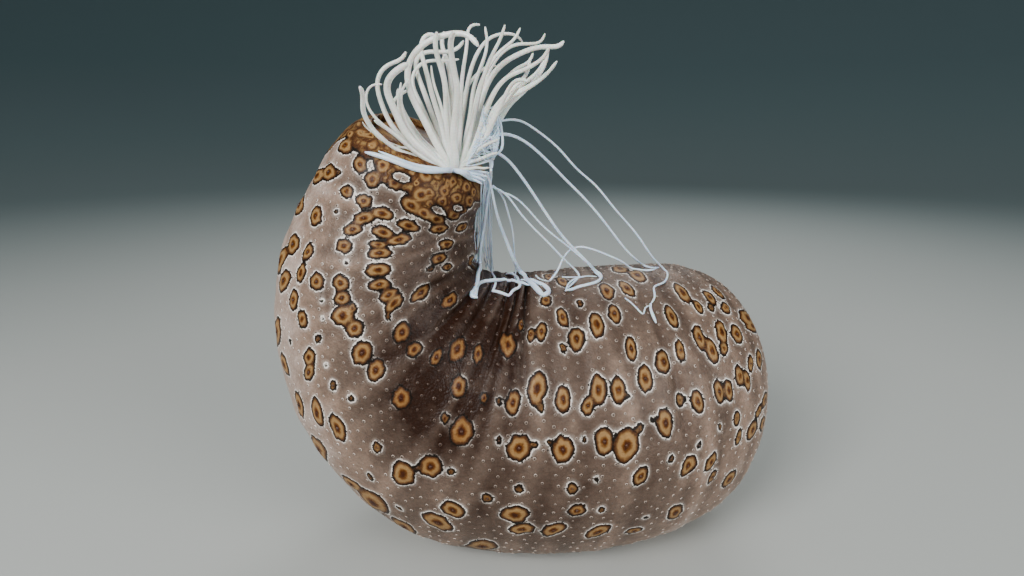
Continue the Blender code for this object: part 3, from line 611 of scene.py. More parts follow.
def spot_distances(points, spot, wobble):
    """Outline distance in mm, and share of the way out, at the points near a spot."""
    place, across, along, to_circle, sizes = spot
    offset = points - place
    near = np.flatnonzero((offset ** 2).sum(1) < (sizes.max() * 2 + FAR) ** 2)
    flat = np.stack([offset[near] @ across, offset[near] @ along], axis=1)
    on_circle = flat @ to_circle.T
    out = np.linalg.norm(on_circle, axis=1) + 1e-6
    angle = np.arctan2(on_circle[:, 1], on_circle[:, 0])
    for order, (amount, phase) in enumerate(wobble, start=2):
        out = out * (1 + amount * np.cos(order * angle + phase))
    depth = offset[near] @ np.cross(across, along)
    reach = np.sqrt((flat ** 2).sum(1) + depth ** 2)
    return near, reach * (1 - 1 / out), out


def markings(points):
    """Outline distance, and shares of the way out from the two nearest middles."""
    edge = np.full(len(points), FAR)
    middle = np.full(len(points), FAR)
    second = np.full(len(points), FAR)
    for spot in all_spots:
        rough = ROUGH_LARGE if spot[4].mean() > 2 else ROUGH_SMALL
        wobble = [(rough * draw.uniform(0.2, 1) / order ** 0.4, draw.uniform(0, TURN))
                  for order in WOBBLES]
        near, distance, out = spot_distances(points, spot, wobble)
        edge[near] = smooth_minimum(edge[near], distance, BLEND)
        closer = out < middle[near]
        second[near] = np.where(closer, middle[near], np.minimum(second[near], out))
        middle[near] = np.where(closer, out, middle[near])
    return edge, middle, second


edge, middle, second = markings(plain_points)
lengths_of = np.concatenate([np.repeat(ring_lengths, SKIN_SIDES),
                             [0.0, BODY_LENGTH - LIP[-1][1]]])
degrees_of = np.concatenate([np.tile(ring_degrees, len(ring_lengths)), [0.0, 0.0]])
still = [(0.0, 0.0)]
for fill in rim_fill:
    near, distance, _ = spot_distances(plain_points, fill, still)
    edge[near] = smooth_minimum(edge[near], distance, BLEND)
angle = np.radians(degrees_of)
band = RIM_BAND + 2.5 * np.sin(3 * angle + 1) + 1.8 * np.sin(7 * angle) + np.sin(13 * angle)
far_side = np.clip((np.abs((degrees_of - 180 + 180) % 360 - 180) - 60) / 25, 0, 1)
band = band * far_side + NEAR_RIM_BAND * (1 - far_side)
edge = smooth_minimum(edge, BODY_LENGTH - band - lengths_of, BLEND)
for island in rim_islands:
    near, distance, _ = spot_distances(plain_points, island, still)
    edge[near] = -smooth_minimum(-edge[near], distance, BLEND)
print("skin inside the outlines", f"{(edge < 0).mean():.0%}")

# %% [markdown]
# ## Tone of the skin
# The skin is mauve brown. It is darkest in the crook of the bend, partly its own darker brown and
# partly painted shade, and grows pale round the belly and on the outside of the bend. Painted
# shade also darkens the flank in front of the bend and the back of the raised end. Soft bands of
# painted light and shade run round the body, where the wall is gathered. The tone is a number from
# 0, dark, to 1, pale. `smooth_step` fades each part of it in or out, along the body or with the
# angle from the middle of the back.

# %% Tone of the skin
CROOK_LENGTH, CROOK_SPREAD = 148, 34
FLANK_LENGTH, FLANK_SPREAD = 108, 27
PALE_BAND_LENGTH, PALE_BAND_SPREAD = 56, 10
PLAIN_TONE = 0.52
# The crook's darkening is partly the skin's own brown and partly painted shade; the flank's and
# the raised end's darkening is painted shade.
CROOK_DARK_AND_SHADE, FLANK_PAINTED_SHADE, RAISED_PAINTED_SHADE, TOP_DARK, RIM_DARK = 0.64, 0.19, 0.20, 0.10, 0.12
FRONT_PALE, HEAD_PALE, BAND_PALE, OUTER_PALE, BELLY_PALE = 0.12, 0.24, 0.15, 0.48, 0.36
# Soft bands round the body: their distance, their phase and how far they wander.
BANDS = ((21, 0.4, 3), (12.5, 2.0, 4), (8, 4.1, 5))
# Painted light and shade of the soft bands: paler tone on their crests, darker in their hollows.
BAND_LIGHT_AND_SHADE, BAND_RELIEF = 0.16, 0.35


def smooth_step(low, high, value):
    share = np.clip((value - low) / (high - low), 0, 1)
    return share * share * (3 - 2 * share)


def hump(value, middle, spread):
    """1 at the middle, fading to both sides."""
    return np.exp(-((value - middle) / spread) ** 2)


from_back = np.abs((degrees_of - 90 + 180) % 360 - 180)
down = -np.concatenate([normals.reshape(-1, 3), [[0, 0, 0], [0, 0, 0]]])[:, 2]
bend = smooth_step(132, 168, lengths_of)
beyond = smooth_step(124, 150, lengths_of)
higher = smooth_step(186, 204, lengths_of)
# Masks of the darkening: the crook's is the skin's own darker brown and painted shade, the flank's
# and the raised end's are painted shade.
crook = hump(lengths_of, CROOK_LENGTH, CROOK_SPREAD)
crook *= 1 - smooth_step(56 + 18 * beyond, 104 + 12 * beyond, from_back)
flank = hump(lengths_of, FLANK_LENGTH, FLANK_SPREAD)
flank *= smooth_step(60, 100, from_back) * (1 - smooth_step(130, 165, from_back))
raised = smooth_step(160, 186, lengths_of) * (1 - smooth_step(62, 92, from_back))
top = (1 - smooth_step(28, 56, from_back)) * (1 - smooth_step(96, 126, lengths_of))
rim_side = smooth_step(205, 228, lengths_of) * smooth_step(100, 140, from_back)
front = 1 - smooth_step(24, 78, lengths_of)
head = (1 - smooth_step(20, 50, lengths_of)) * smooth_step(52, 84, from_back)
pale_band = hump(lengths_of, PALE_BAND_LENGTH, PALE_BAND_SPREAD)
pale_band *= smooth_step(76, 96, from_back)
outer = smooth_step(90 + 12 * higher, 144, from_back) * bend
belly = smooth_step(0.25, 0.85, down) * (1 - bend)
tone = PLAIN_TONE - CROOK_DARK_AND_SHADE * crook - FLANK_PAINTED_SHADE * flank - RAISED_PAINTED_SHADE * raised
tone += FRONT_PALE * front + HEAD_PALE * head + BAND_PALE * pale_band - TOP_DARK * top
tone += OUTER_PALE * outer - RIM_DARK * rim_side + BELLY_PALE * belly
tone = np.clip(tone, 0, 1)
fold = fold_depth(lengths_of, degrees_of)
drift = 0.35 * np.sin(2 * angle + 1) + 0.2 * np.sin(5 * angle)
bands = sum(np.sin(2 * math.pi * lengths_of / apart + turn + sway * drift)
            for apart, turn, sway in BANDS) / len(BANDS)
# Painted light and shade of the soft bands round the body.
tone = np.clip(tone + BAND_LIGHT_AND_SHADE * bands, 0, 1)
print("tone from", tone.min().round(2), "to", tone.max().round(2))

# %% [markdown]
# ## The skin's own relief
# The middle of each eye spot stands up as a low knob, its outline is a faint step, and the
# whole skin is slightly uneven. These small heights are added along the normals, and stay
# within about a millimetre. The mouth is a puckered pit on the underside of the front end.

# %% Relief and mouth
MOUTH_LENGTH, MOUTH_ANGLE = 11, 268
MOUTH_RADIUS, MOUTH_DEPTH = 9.0, 4.6
MOUTH_PLEATS, PLEAT_DEPTH = 20, 0.10
LIP_SWELL = 0.8
WAVES, WAVE_LENGTHS = 14, (5, 16)
WAVE_RELIEF, KNOB_RELIEF, SPOT_RELIEF = 0.30, 0.28, 0.14
INSIDE_SHARE = 0.3        # of the relief that is kept inside the anus

waves = [(draw.normal(0, 1, 3) / draw.uniform(*WAVE_LENGTHS), draw.uniform(0, TURN))
         for _ in range(WAVES)]
lumps = sum(np.sin(plain_points @ way + phase) for way, phase in waves) / len(waves)
relief = WAVE_RELIEF * lumps + BAND_RELIEF * bands
relief += KNOB_RELIEF * hump(middle, 0, 0.5) * (middle < 3)
relief += SPOT_RELIEF * (1 - smooth_step(-0.6, 0.5, edge))

mouth_place = skin_points(MOUTH_LENGTH, MOUTH_ANGLE)
_, mouth_out, _, _ = skin_tree.find_nearest(Vector(mouth_place))
mouth_out = np.array(mouth_out)
mouth_across, mouth_along = tangents(mouth_out)
from_mouth = plain_points - mouth_place
flat = np.stack([from_mouth @ mouth_across, from_mouth @ mouth_along], axis=1)
mouth_distance = np.linalg.norm(flat, axis=1)
around = np.arctan2(flat[:, 1], flat[:, 0])
in_mouth = (mouth_distance < 2 * MOUTH_RADIUS) & (np.abs(from_mouth @ mouth_out) < 8)
pleats = 1 + PLEAT_DEPTH * np.cos(MOUTH_PLEATS * around)
pit = 1 - smooth_step(0.55, 1.05, mouth_distance * pleats / MOUTH_RADIUS)
relief -= np.where(in_mouth, MOUTH_DEPTH * pit, 0)
lips = hump(mouth_distance, 1.15 * MOUTH_RADIUS, 2.0)
relief += np.where(in_mouth, LIP_SWELL * lips, 0)
mouth_mask = np.where(in_mouth, pit, 0)

all_normals = np.concatenate([normals.reshape(-1, 3), [-ANUS_HEADING, ANUS_HEADING]])
all_normals[-2] = unit(poles[0] - skin_points(20.0, 0.0, 0.0))
relief[lengths_of > BODY_LENGTH] *= INSIDE_SHARE
skin_places = plain_points + all_normals * relief[:, None]
skin_places[:, 2] = np.maximum(skin_places[:, 2], BELLY_LEVEL - 0.2)
print("relief from", relief.min().round(2), "to", relief.max().round(2), "mm")

# %% [markdown]
# ## Helpers for meshes and finishes
# Each helper is short. `mesh_object` makes an object of points in millimetres, with its
# numbers stored as attributes that a material or a node tree can read by name.

# %% Helpers


def mesh_object(name, points, mesh_faces, edges=(), **numbers):
    mesh = bpy.data.meshes.new(name)
    mesh.from_pydata((np.asarray(points) * MM).tolist(), edges, mesh_faces)
    for label, values in numbers.items():
        values = np.asarray(values, np.float32)
        kind = "FLOAT_VECTOR" if values.ndim == 2 else "FLOAT"
        layer = mesh.attributes.new(label, kind, "POINT")
        layer.data.foreach_set("vector" if values.ndim == 2 else "value", values.ravel())
    mesh.update()
    piece = bpy.data.objects.new(name, mesh)
    scene.collection.objects.link(piece)
    return piece


def point_outwards(piece):
    """Turn a closed piece's faces round if they face inwards."""
    form = bmesh.new()
    form.from_mesh(piece.data)
    if form.calc_volume(signed=True) < 0:
        piece.data.flip_normals()
    form.free()
    return piece


def stacked(name, rings, ends):
    """A closed smooth piece of rings stacked on each other, with a point at each end."""
    rings = np.asarray(rings)
    points = np.concatenate([rings.reshape(-1, 3), ends])
    piece = mesh_object(name, points, grid_faces(*rings.shape[:2]))
    piece.data.shade_smooth()
    return point_outwards(piece)


def linear(red, green, blue):
    """Colour for a shader, from the 0 to 255 values that a picture shows."""
    def one(value):
        value /= 255
        return value / 12.92 if value <= 0.04045 else ((value + 0.055) / 1.055) ** 2.4
    return (one(red), one(green), one(blue), 1.0)


# %% The skin's mesh
skin = mesh_object("skin", skin_places, faces, edge=edge, middle=middle, second=second,
                   tone=tone, fold=fold, mouth=mouth_mask)
point_outwards(skin)
skin.data.shade_smooth()
print("skin triangles", sum(len(face.vertices) - 2 for face in skin.data.polygons))

# %% [markdown]
# ## A map of the skin
# A map tells where each bit of skin lies in a flat picture of its finish. The body is like a
# sleeve, so it is cut open along one side and laid flat: one direction runs round the body and the
# other along it.

# %% Map of the skin
MAP_MARGIN = 3            # mm of skin's length, left free at both ends

steps = np.linalg.norm(np.diff(grid, axis=0), axis=2).mean(axis=1)
travelled = np.concatenate([[0], np.cumsum(steps)])
map_height = np.append((travelled + MAP_MARGIN) / (travelled[-1] + 2 * MAP_MARGIN), 0.0)


def sleeve_map(piece):
    layer = piece.data.uv_layers.new(name="OFBake")
    corner = np.zeros(len(piece.data.loops), np.int32)
    piece.data.loops.foreach_get("vertex_index", corner)
    rows = len(ring_lengths)
    row, column = np.minimum(corner // SKIN_SIDES, rows), (corner % SKIN_SIDES).astype(float)
    first, last = corner == rows * SKIN_SIDES, corner == rows * SKIN_SIDES + 1
    height = map_height[row]
    height[first], height[last] = 0.0, 1.0
    for face in piece.data.polygons:
        loops = slice(face.loop_start, face.loop_start + face.loop_total)
        columns = column[loops]
        pole = first[loops] | last[loops]
        if np.ptp(columns[~pole]) > SKIN_SIDES / 2:
            columns[columns < SKIN_SIDES / 2] += SKIN_SIDES
        columns[pole] = columns[~pole].mean()
        column[loops] = columns
    values = np.stack([column / (SKIN_SIDES + 1), height], axis=1)
    layer.data.foreach_set("uv", values.astype(np.float32).ravel())


def map_places(indices):
    """Where points of the skin's grid lie on its map."""
    row, column = np.divmod(indices, SKIN_SIDES)
    return np.stack([(column + 0.5) / (SKIN_SIDES + 1), map_height[row]], axis=1)


sleeve_map(skin)
print("map", skin.data.uv_layers[0].name)

# %% [markdown]
# ## Shared effects
# Two effects are used by several finishes, so each is a node group with named inputs: a
# leathery grain for the bump, and a wetness that varies the roughness.

# %% Node helpers


def new_tree(name, kind, inputs, outputs):
    """A new group, with what it takes in and what it gives out."""
    tree = bpy.data.node_groups.new(name, kind)
    for label, socket, value in inputs:
        made = tree.interface.new_socket(label, in_out="INPUT", socket_type=socket)
        if value is not None:
            made.default_value = value
    for label, socket in outputs:
        tree.interface.new_socket(label, in_out="OUTPUT", socket_type=socket)
    taken, given = tree.nodes.new("NodeGroupInput"), tree.nodes.new("NodeGroupOutput")
    return tree, taken.outputs, given.inputs


def add(tree, kind, inputs, **settings):
    """A new node's outputs. Each of its inputs is linked to a socket or set to a value."""
    node = tree.nodes.new(kind)
    for label, value in settings.items():
        setattr(node, label, value)
    for label, value in inputs.items():
        if isinstance(value, bpy.types.NodeSocket):
            tree.links.new(value, node.inputs[label])
        elif value is not None:
            node.inputs[label].default_value = value
    return node.outputs


def math_node(tree, operation, first, second=None, clamp=False):
    return add(tree, "ShaderNodeMath", {0: first, 1: second}, operation=operation,
               use_clamp=clamp)[0]


def times(tree, first, second):
    return math_node(tree, "MULTIPLY", first, second)


def plus(tree, first, second):
    return math_node(tree, "ADD", first, second)


def minus(tree, first, second):
    return math_node(tree, "SUBTRACT", first, second)


def swing(tree, value, amount):
    """A noise turned into a push to both sides."""
    return times(tree, minus(tree, value, 0.5), amount)


def noise(tree, place, scale, detail=3.0, rough=0.55):
    return add(tree, "ShaderNodeTexNoise", {"Vector": place, "Scale": scale, "Detail": detail,
                                            "Roughness": rough})["Fac"]


def mix_colour(tree, share, first, second, how="MIX"):
    return add(tree, "ShaderNodeMix", {0: share, 6: first, 7: second}, data_type="RGBA",
               blend_type=how)[2]


def ramp(tree, value, stops):
    node = tree.nodes.new("ShaderNodeValToRGB")
    while len(node.color_ramp.elements) < len(stops):
        node.color_ramp.elements.new(1.0)
    for element, (place, colour) in zip(node.color_ramp.elements, stops):
        element.position, element.color = place, colour
    tree.links.new(value, node.inputs[0])
    return node.outputs[0]


def grey(value):
    return (value, value, value, 1.0)


def span(tree, value, low, high):
    """A value as a share of the way from low to high, kept from 0 to 1."""
    return add(tree, "ShaderNodeMapRange", {"Value": value, "From Min": low, "From Max": high},
               clamp=True)["Result"]


def fade(tree, value, low, high):
    """The same share, the other way round: 1 at low and 0 at high."""
    return minus(tree, 1.0, span(tree, value, low, high))


def attribute(tree, name):
    return add(tree, "ShaderNodeAttribute", {}, attribute_name=name)["Fac"]


# %% Shared groups
BROAD_SHARE = 0.35        # scale of the wrinkles, of that of the pits


def leathery_grain():
    """Fine pits and wrinkles of a wet leathery skin, as a height."""
    tree, taken, given = new_tree(
        "leathery grain", "ShaderNodeTree",
        [("Place", "NodeSocketVector", None), ("Scale", "NodeSocketFloat", 900.0),
         ("Wrinkles", "NodeSocketFloat", 0.5)],
        [("Height", "NodeSocketFloat")])
    place, scale = taken["Place"], taken["Scale"]
    pits = add(tree, "ShaderNodeTexVoronoi", {"Vector": place, "Scale": scale},
               feature="SMOOTH_F1")["Distance"]
    wrinkles = noise(tree, place, times(tree, scale, BROAD_SHARE), 5.0, 0.6)
    wrinkles = times(tree, wrinkles, taken["Wrinkles"])
    tree.links.new(plus(tree, pits, wrinkles), given["Height"])
    return tree


def wetness():
    """Roughness that wanders between wetter and drier patches."""
    tree, taken, given = new_tree(
        "wetness", "ShaderNodeTree",
        [("Place", "NodeSocketVector", None), ("Middle", "NodeSocketFloat", 0.4),
         ("Range", "NodeSocketFloat", 0.15), ("Scale", "NodeSocketFloat", 120.0)],
        [("Roughness", "NodeSocketFloat")])
    patches = swing(tree, noise(tree, taken["Place"], taken["Scale"], 4.0), taken["Range"])
    total = math_node(tree, "ADD", patches, taken["Middle"], clamp=True)
    tree.links.new(total, given["Roughness"])
    return tree


GRAIN, WET = leathery_grain(), wetness()


def finish(name, grain_scale, wrinkles, bump, wet_middle, wet_range, **plain):
    """A finish with the shared grain and wetness, and its colour still to come."""
    made = bpy.data.materials.new(name)
    made.use_nodes = True
    tree = made.node_tree
    shader = tree.nodes["Principled BSDF"].inputs
    place = add(tree, "ShaderNodeTexCoord", {})["Object"]
    grain = add(tree, "ShaderNodeGroup", {"Place": place, "Scale": grain_scale,
                                          "Wrinkles": wrinkles}, node_tree=GRAIN)
    wet = add(tree, "ShaderNodeGroup", {"Place": place, "Middle": wet_middle,
                                        "Range": wet_range}, node_tree=WET)
    bumps = add(tree, "ShaderNodeBump", {"Distance": bump, "Height": grain["Height"]})
    tree.links.new(wet["Roughness"], shader["Roughness"])
    tree.links.new(bumps["Normal"], shader["Normal"])
    for label, value in plain.items():
        shader[label.replace("_", " ")].default_value = value
    return made, tree, place


def paint(tree, colour):
    """Give a finish its colour."""
    tree.links.new(colour, tree.nodes["Principled BSDF"].inputs["Base Color"])


def patched_finish(name, surface, patches, colours, **plain):
    """A finish whose colour changes in the patches of a noise."""
    made, tree, place = finish(name, *surface, **plain)
    paint(tree, ramp(tree, noise(tree, place, *patches), colours))
    return made


print("groups", GRAIN.name, WET.name)

# %% [markdown]
# ## The finish of the skin
# From the middle of an eye spot outwards come a dark brown knob, red brown, ochre, a brown
# border, a thin black outline and a cream halo, which fades into the mauve skin. A little
# noise added to the stored distance roughens the outline as it is on the animal.

# %% Finish of the skin
DARK_SKIN = linear(36, 16, 5)
MID_SKIN = linear(99, 82, 71)
WARM_SKIN = linear(140, 117, 102)
PALE_SKIN = linear(174, 154, 142)
SKIN_TONES = ((0.0, DARK_SKIN), (0.5, MID_SKIN), (0.76, WARM_SKIN), (1.0, PALE_SKIN))
HALO = linear(234, 224, 214)
OUTLINE = linear(16, 8, 3)
SPOT_COLOURS = (
    (0.00, linear(52, 20, 4)), (0.20, linear(58, 24, 3)), (0.34, linear(98, 57, 10)),
    (0.50, linear(145, 112, 70)), (0.66, linear(143, 110, 69)), (0.82, linear(100, 66, 32)),
    (1.00, linear(60, 32, 12)),
)
RIM_BROWN = linear(90, 56, 26)
RIM_COLOURS = ((0.36, linear(58, 30, 12)), (0.47, RIM_BROWN), (0.60, linear(134, 104, 62)))
BORDER_BROWN, MOUTH_BROWN = linear(56, 28, 9), linear(58, 36, 30)
# What lights the spots by the tone of the skin round them: duller in the dark crook.
SPOT_LIGHT = ((0.0, (0.76, 0.62, 0.46, 1.0)), (0.42, grey(1.0)), (1.0, grey(1.14)))
# Scale, detail and roughness of each noise.
RAGGED, HOOKS, PATCHES = (800.0, 4.0, 0.75), (1300.0, 2.0, 0.5), (110.0, 5.0, 0.65)
MOTTLE, STREAKS, CLOTS = (700.0, 4.0, 0.7), (500.0, 4.0, 0.65), (430.0, 3.0, 0.6)
# How far each noise pushes what it is added to.
RAGGED_PUSH, HOOK_REACH, PATCH_PUSH, STREAK_PUSH = 1.5, 1.1, 0.65, 0.42
# Where each part fades, in mm outside the outline.
NEAR_HALO, WIDE_HALO, BLACK_LINE = (0.44, 0.74), (0.4, 1.7), (0.08, 0.26)
INSIDE_LINE, BORDER = (-0.58, -0.30), (-1.5, -0.6)
SKIN_GLOSS = {"Specular_IOR_Level": 0.16, "Coat_Weight": 0.02, "Coat_Roughness": 0.25}


def plain_skin(tree, edge_out, tone_out, mottle):
    """Mauve brown by the tone, with painted shade in the folds and a halo round each outline."""
    base = mix_colour(tree, 0.8, ramp(tree, tone_out, SKIN_TONES), mottle, "MULTIPLY")
    # Painted shade in the folds: the deeper the fold, the darker the skin.
    fold_shade = span(tree, attribute(tree, "fold"), 0.2, 2.2)
    base = mix_colour(tree, times(tree, fold_shade, 0.6), base, DARK_SKIN)
    near = times(tree, fade(tree, edge_out, *NEAR_HALO), 0.92)
    wide = times(tree, fade(tree, edge_out, *WIDE_HALO), 0.20)
    halo = math_node(tree, "MAXIMUM", near, wide)
    halo = times(tree, halo, span(tree, tone_out, 0.04, 0.48))
    return mix_colour(tree, halo, base, HALO)


def spot_inside(tree, place, edge_out, tone_out, mottle):
    """Rings from the middle out, brown where two spots meet, and the rim between them."""
    middle_out, second_out = attribute(tree, "middle"), attribute(tree, "second")
    out = plus(tree, middle_out, swing(tree, noise(tree, place, *STREAKS), STREAK_PUSH))
    inside = ramp(tree, out, SPOT_COLOURS)
    inside = mix_colour(tree, 1.0, inside, ramp(tree, tone_out, SPOT_LIGHT), "MULTIPLY")
    inside = mix_colour(tree, 0.45, inside, mottle, "MULTIPLY")
    between = fade(tree, minus(tree, second_out, middle_out), 0.0, 0.22)
    between = times(tree, between, span(tree, middle_out, 0.55, 0.9))
    inside = mix_colour(tree, times(tree, between, 0.75), inside, RIM_BROWN)
    rim = ramp(tree, noise(tree, place, *CLOTS), RIM_COLOURS)
    inside = mix_colour(tree, span(tree, out, 1.0, 1.22), inside, rim)
    border = times(tree, span(tree, edge_out, *BORDER), 0.8)
    return mix_colour(tree, border, inside, BORDER_BROWN)


def skin_finish():
    made, tree, place = finish("skin", 1500.0, 0.7, 0.00020, 0.46, 0.2, **SKIN_GLOSS,
                               Subsurface_Weight=0.04, Subsurface_Scale=0.002)
    ragged = swing(tree, noise(tree, place, *RAGGED), RAGGED_PUSH)
    edge_out = plus(tree, attribute(tree, "edge"), ragged)
    hooks = times(tree, span(tree, noise(tree, place, *HOOKS), 0.57, 0.71), HOOK_REACH)
    patches = swing(tree, noise(tree, place, *PATCHES), PATCH_PUSH)
    tone_out = plus(tree, attribute(tree, "tone"), patches)
    mottle = ramp(tree, noise(tree, place, *MOTTLE), ((0.3, grey(0.70)), (0.7, grey(1.18))))
    base = plain_skin(tree, edge_out, tone_out, mottle)
    inside = spot_inside(tree, place, edge_out, tone_out, mottle)
    lined = fade(tree, minus(tree, edge_out, hooks), *BLACK_LINE)
    colour = mix_colour(tree, lined, base, OUTLINE)
    colour = mix_colour(tree, fade(tree, edge_out, *INSIDE_LINE), colour, inside)
    paint(tree, mix_colour(tree, attribute(tree, "mouth"), colour, MOUTH_BROWN))
    return made


skin.data.materials.append(skin_finish())
print("finish", skin.data.materials[0].name)

# %% Hand the skin to the model
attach(skin, "root")
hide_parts("mouth_end", "fore_trunk", "mid_trunk", "bend_lower", "bend_upper",
            "hind_trunk", "anal_end")

# %% [markdown]
# ## Knobs that grow on a surface
# Papillae, the points in the eye spots, tube feet and the tips of the tentacles are all
# small knobs on a surface. One Geometry Nodes tree grows them: it takes a mesh of loose
# points, each with the direction out of the surface and a size, puts a knob on each, turns
# the copies into real mesh and gives them a material.

# %% Tree that grows knobs


def named(tree, label, kind="FLOAT"):
    return add(tree, "GeometryNodeInputNamedAttribute", {"Name": label},
               data_type=kind)["Attribute"]


def hand_back(tree, mesh, made, given):
    """Turn copies into real smooth mesh with a material, which is what the tree gives."""
    real = add(tree, "GeometryNodeRealizeInstances", {"Geometry": mesh})["Geometry"]
    smooth = add(tree, "GeometryNodeSetShadeSmooth", {"Geometry": real})["Geometry"]
    painted = add(tree, "GeometryNodeSetMaterial", {"Geometry": smooth, "Material": made})
    tree.links.new(painted["Geometry"], given)
    return tree


def knob_tree():
    tree, taken, given = new_tree(
        "grow knobs", "GeometryNodeTree",
        [("Places", "NodeSocketGeometry", None), ("Radius", "NodeSocketFloat", 0.0006),
         ("Height", "NodeSocketFloat", 0.0004), ("Sides", "NodeSocketInt", 8),
         ("Rings", "NodeSocketInt", 5), ("Finish", "NodeSocketMaterial", None)],
        [("Knobs", "NodeSocketGeometry")])
    ball = add(tree, "GeometryNodeMeshUVSphere", {
        "Segments": taken["Sides"], "Rings": taken["Rings"], "Radius": 1.0})["Mesh"]
    place = add(tree, "GeometryNodeInputPosition", {})[0]
    up = add(tree, "ShaderNodeSeparateXYZ", {0: place})["Z"]
    ball = add(tree, "GeometryNodeStoreNamedAttribute", {
        "Geometry": ball, "Name": "tip", "Value": up}, data_type="FLOAT", domain="POINT")
    size = add(tree, "ShaderNodeCombineXYZ", {
        "X": taken["Radius"], "Y": taken["Radius"], "Z": taken["Height"]})[0]
    knob = add(tree, "GeometryNodeTransform", {"Geometry": ball["Geometry"], "Scale": size})
    spots = add(tree, "GeometryNodeMeshToPoints", {"Mesh": taken["Places"]})["Points"]
    turn = add(tree, "FunctionNodeAlignRotationToVector", {
        "Vector": named(tree, "out", "FLOAT_VECTOR")}, axis="Z")["Rotation"]
    grown = add(tree, "GeometryNodeInstanceOnPoints", {
        "Points": spots, "Instance": knob["Geometry"], "Rotation": turn,
        "Scale": named(tree, "size")})["Instances"]
    return hand_back(tree, grown, taken["Finish"], given["Knobs"])


def run_tree(piece, tree, **values):
    """Run a tree on a piece with named inputs, and keep its result as a plain mesh."""
    step = piece.modifiers.new(tree.name, "NODES")
    step.node_group = tree
    for item in tree.interface.items_tree:
        label = item.name.replace(" ", "_")
        if getattr(item, "in_out", "") == "INPUT" and label in values:
            step[item.identifier] = values[label]
    bpy.context.view_layer.update()
    result = piece.evaluated_get(bpy.context.evaluated_depsgraph_get())
    mesh = bpy.data.meshes.new_from_object(result)
    piece.modifiers.remove(step)
    piece.data = mesh
    return piece


KNOBS = knob_tree()


def grow_knobs(name, places, outs, sizes, made, radius, height, sides=8, rings=5, **numbers):
    piece = mesh_object(name, places, [], out=outs, size=sizes, **numbers)
    run_tree(piece, KNOBS, Radius=radius * MM, Height=height * MM, Sides=sides, Rings=rings,
             Finish=made)
    print(name, len(sizes), "knobs,", len(piece.data.polygons), "faces")
    return piece


# %% [markdown]
# ## A map for knobs
# On the map each knob is a small disc at its root's place on the skin's map. Its top is the
# disc's middle and its foot the rim, so no two faces share a place.

# %% Map of the knobs
DISC_RADIUS = 0.0015      # of the map's width
MAP_EDGE = 0.002


def knob_map(piece, places, outs, roots):
    mesh, places, outs = piece.data, np.array(places), np.array(outs)
    knob = np.arange(len(mesh.vertices)) // (len(mesh.vertices) // len(places))
    points, tip = np.zeros(len(knob) * 3), np.zeros(len(knob))
    mesh.vertices.foreach_get("co", points)
    mesh.attributes["tip"].data.foreach_get("value", tip)
    offset = points.reshape(-1, 3) / MM - places[knob]
    across, along = tangents(outs)
    flat = np.stack([(offset * across[knob]).sum(1), (offset * along[knob]).sum(1)], axis=1)
    way = flat / np.maximum(np.linalg.norm(flat, axis=1, keepdims=True), 1e-5)
    reach = DISC_RADIUS * np.arccos(np.clip(tip, -1, 1)) / math.pi
    disc = way * reach[:, None]
    corner = np.zeros(len(mesh.loops), np.int32)
    mesh.loops.foreach_get("vertex_index", corner)
    values = disc[corner]
    for face in mesh.polygons:
        loops = slice(face.loop_start, face.loop_start + face.loop_total)
        foot = tip[corner[loops]] < -0.999
        if foot.any():
            values[loops][foot] = DISC_RADIUS * unit(values[loops][~foot].mean(axis=0))
    values += np.clip(roots, MAP_EDGE, 1 - MAP_EDGE)[knob[corner]]
    layer = mesh.uv_layers.new(name="OFBake")
    layer.data.foreach_set("uv", values.astype(np.float32).ravel())


# %% [markdown]
# ## Papillae
# Thousands of tiny papillae stand on the back and sides, each with a dark tip and a pale ring
# round it painted as a highlight, 3 to 4 mm apart. They keep clear of the eye spots and thin out
# towards the belly. The points in the middle of the eye spots are larger and dark.

# %% Places of the papillae
PAPILLA_SPACING = 3.2
PAPILLA_CLEARANCE = 1.3   # from the outline of an eye spot
RIM_CLEARANCE = 4         # from the anus
SIDE_SHARE = 0.15         # of the papillae that stay low on the sides
NEIGHBOURS = np.array(list(np.ndindex(3, 3, 3))) - 1


def scatter_papillae():
    """Points of the skin's grid, drawn at random and kept if they have room."""
    order = draw.permutation(len(plain_points) - 2)
    cells, kept = {}, []
    wanted = 1.0 - smooth_step(75, 130, from_back)
    wanted += SIDE_SHARE * (1 - smooth_step(130, 150, from_back))
    luck = draw.random(len(plain_points))
    taken = (edge < PAPILLA_CLEARANCE) | (lengths_of > BODY_LENGTH - RIM_CLEARANCE)
    taken |= luck > wanted
    for index in order:
        if taken[index]:
            continue
        point = skin_places[index]
        cell = (point // PAPILLA_SPACING).astype(int)
        around = [tuple(cell + step) for step in NEIGHBOURS]
        others = [skin_places[o] for key in around for o in cells.get(key, ())]
        gaps = np.linalg.norm(np.array(others) - point, axis=1) if others else [FAR]
        if np.min(gaps) >= PAPILLA_SPACING:
            cells.setdefault(tuple(cell), []).append(index)
            kept.append(index)
    return np.array(kept)


papilla_places = scatter_papillae()
print("papillae", len(papilla_places))

# %% Finishes of the papillae
KNOB_SURFACE = (2500.0, 0.3, 0.00005, 0.38, 0.1)
# Painted highlight of the papillae: the pale ring's colours by the skin's tone, and where up the
# knob it lies.
PAPILLA_HIGHLIGHT_TONES = ((0.0, linear(88, 66, 52)), (0.5, linear(186, 170, 156)),
                 (1.0, linear(226, 218, 210)))
PAPILLA_HIGHLIGHT_RING = ((0.30, grey(0)), (0.45, grey(1)), (0.62, grey(1)), (0.80, grey(0)))


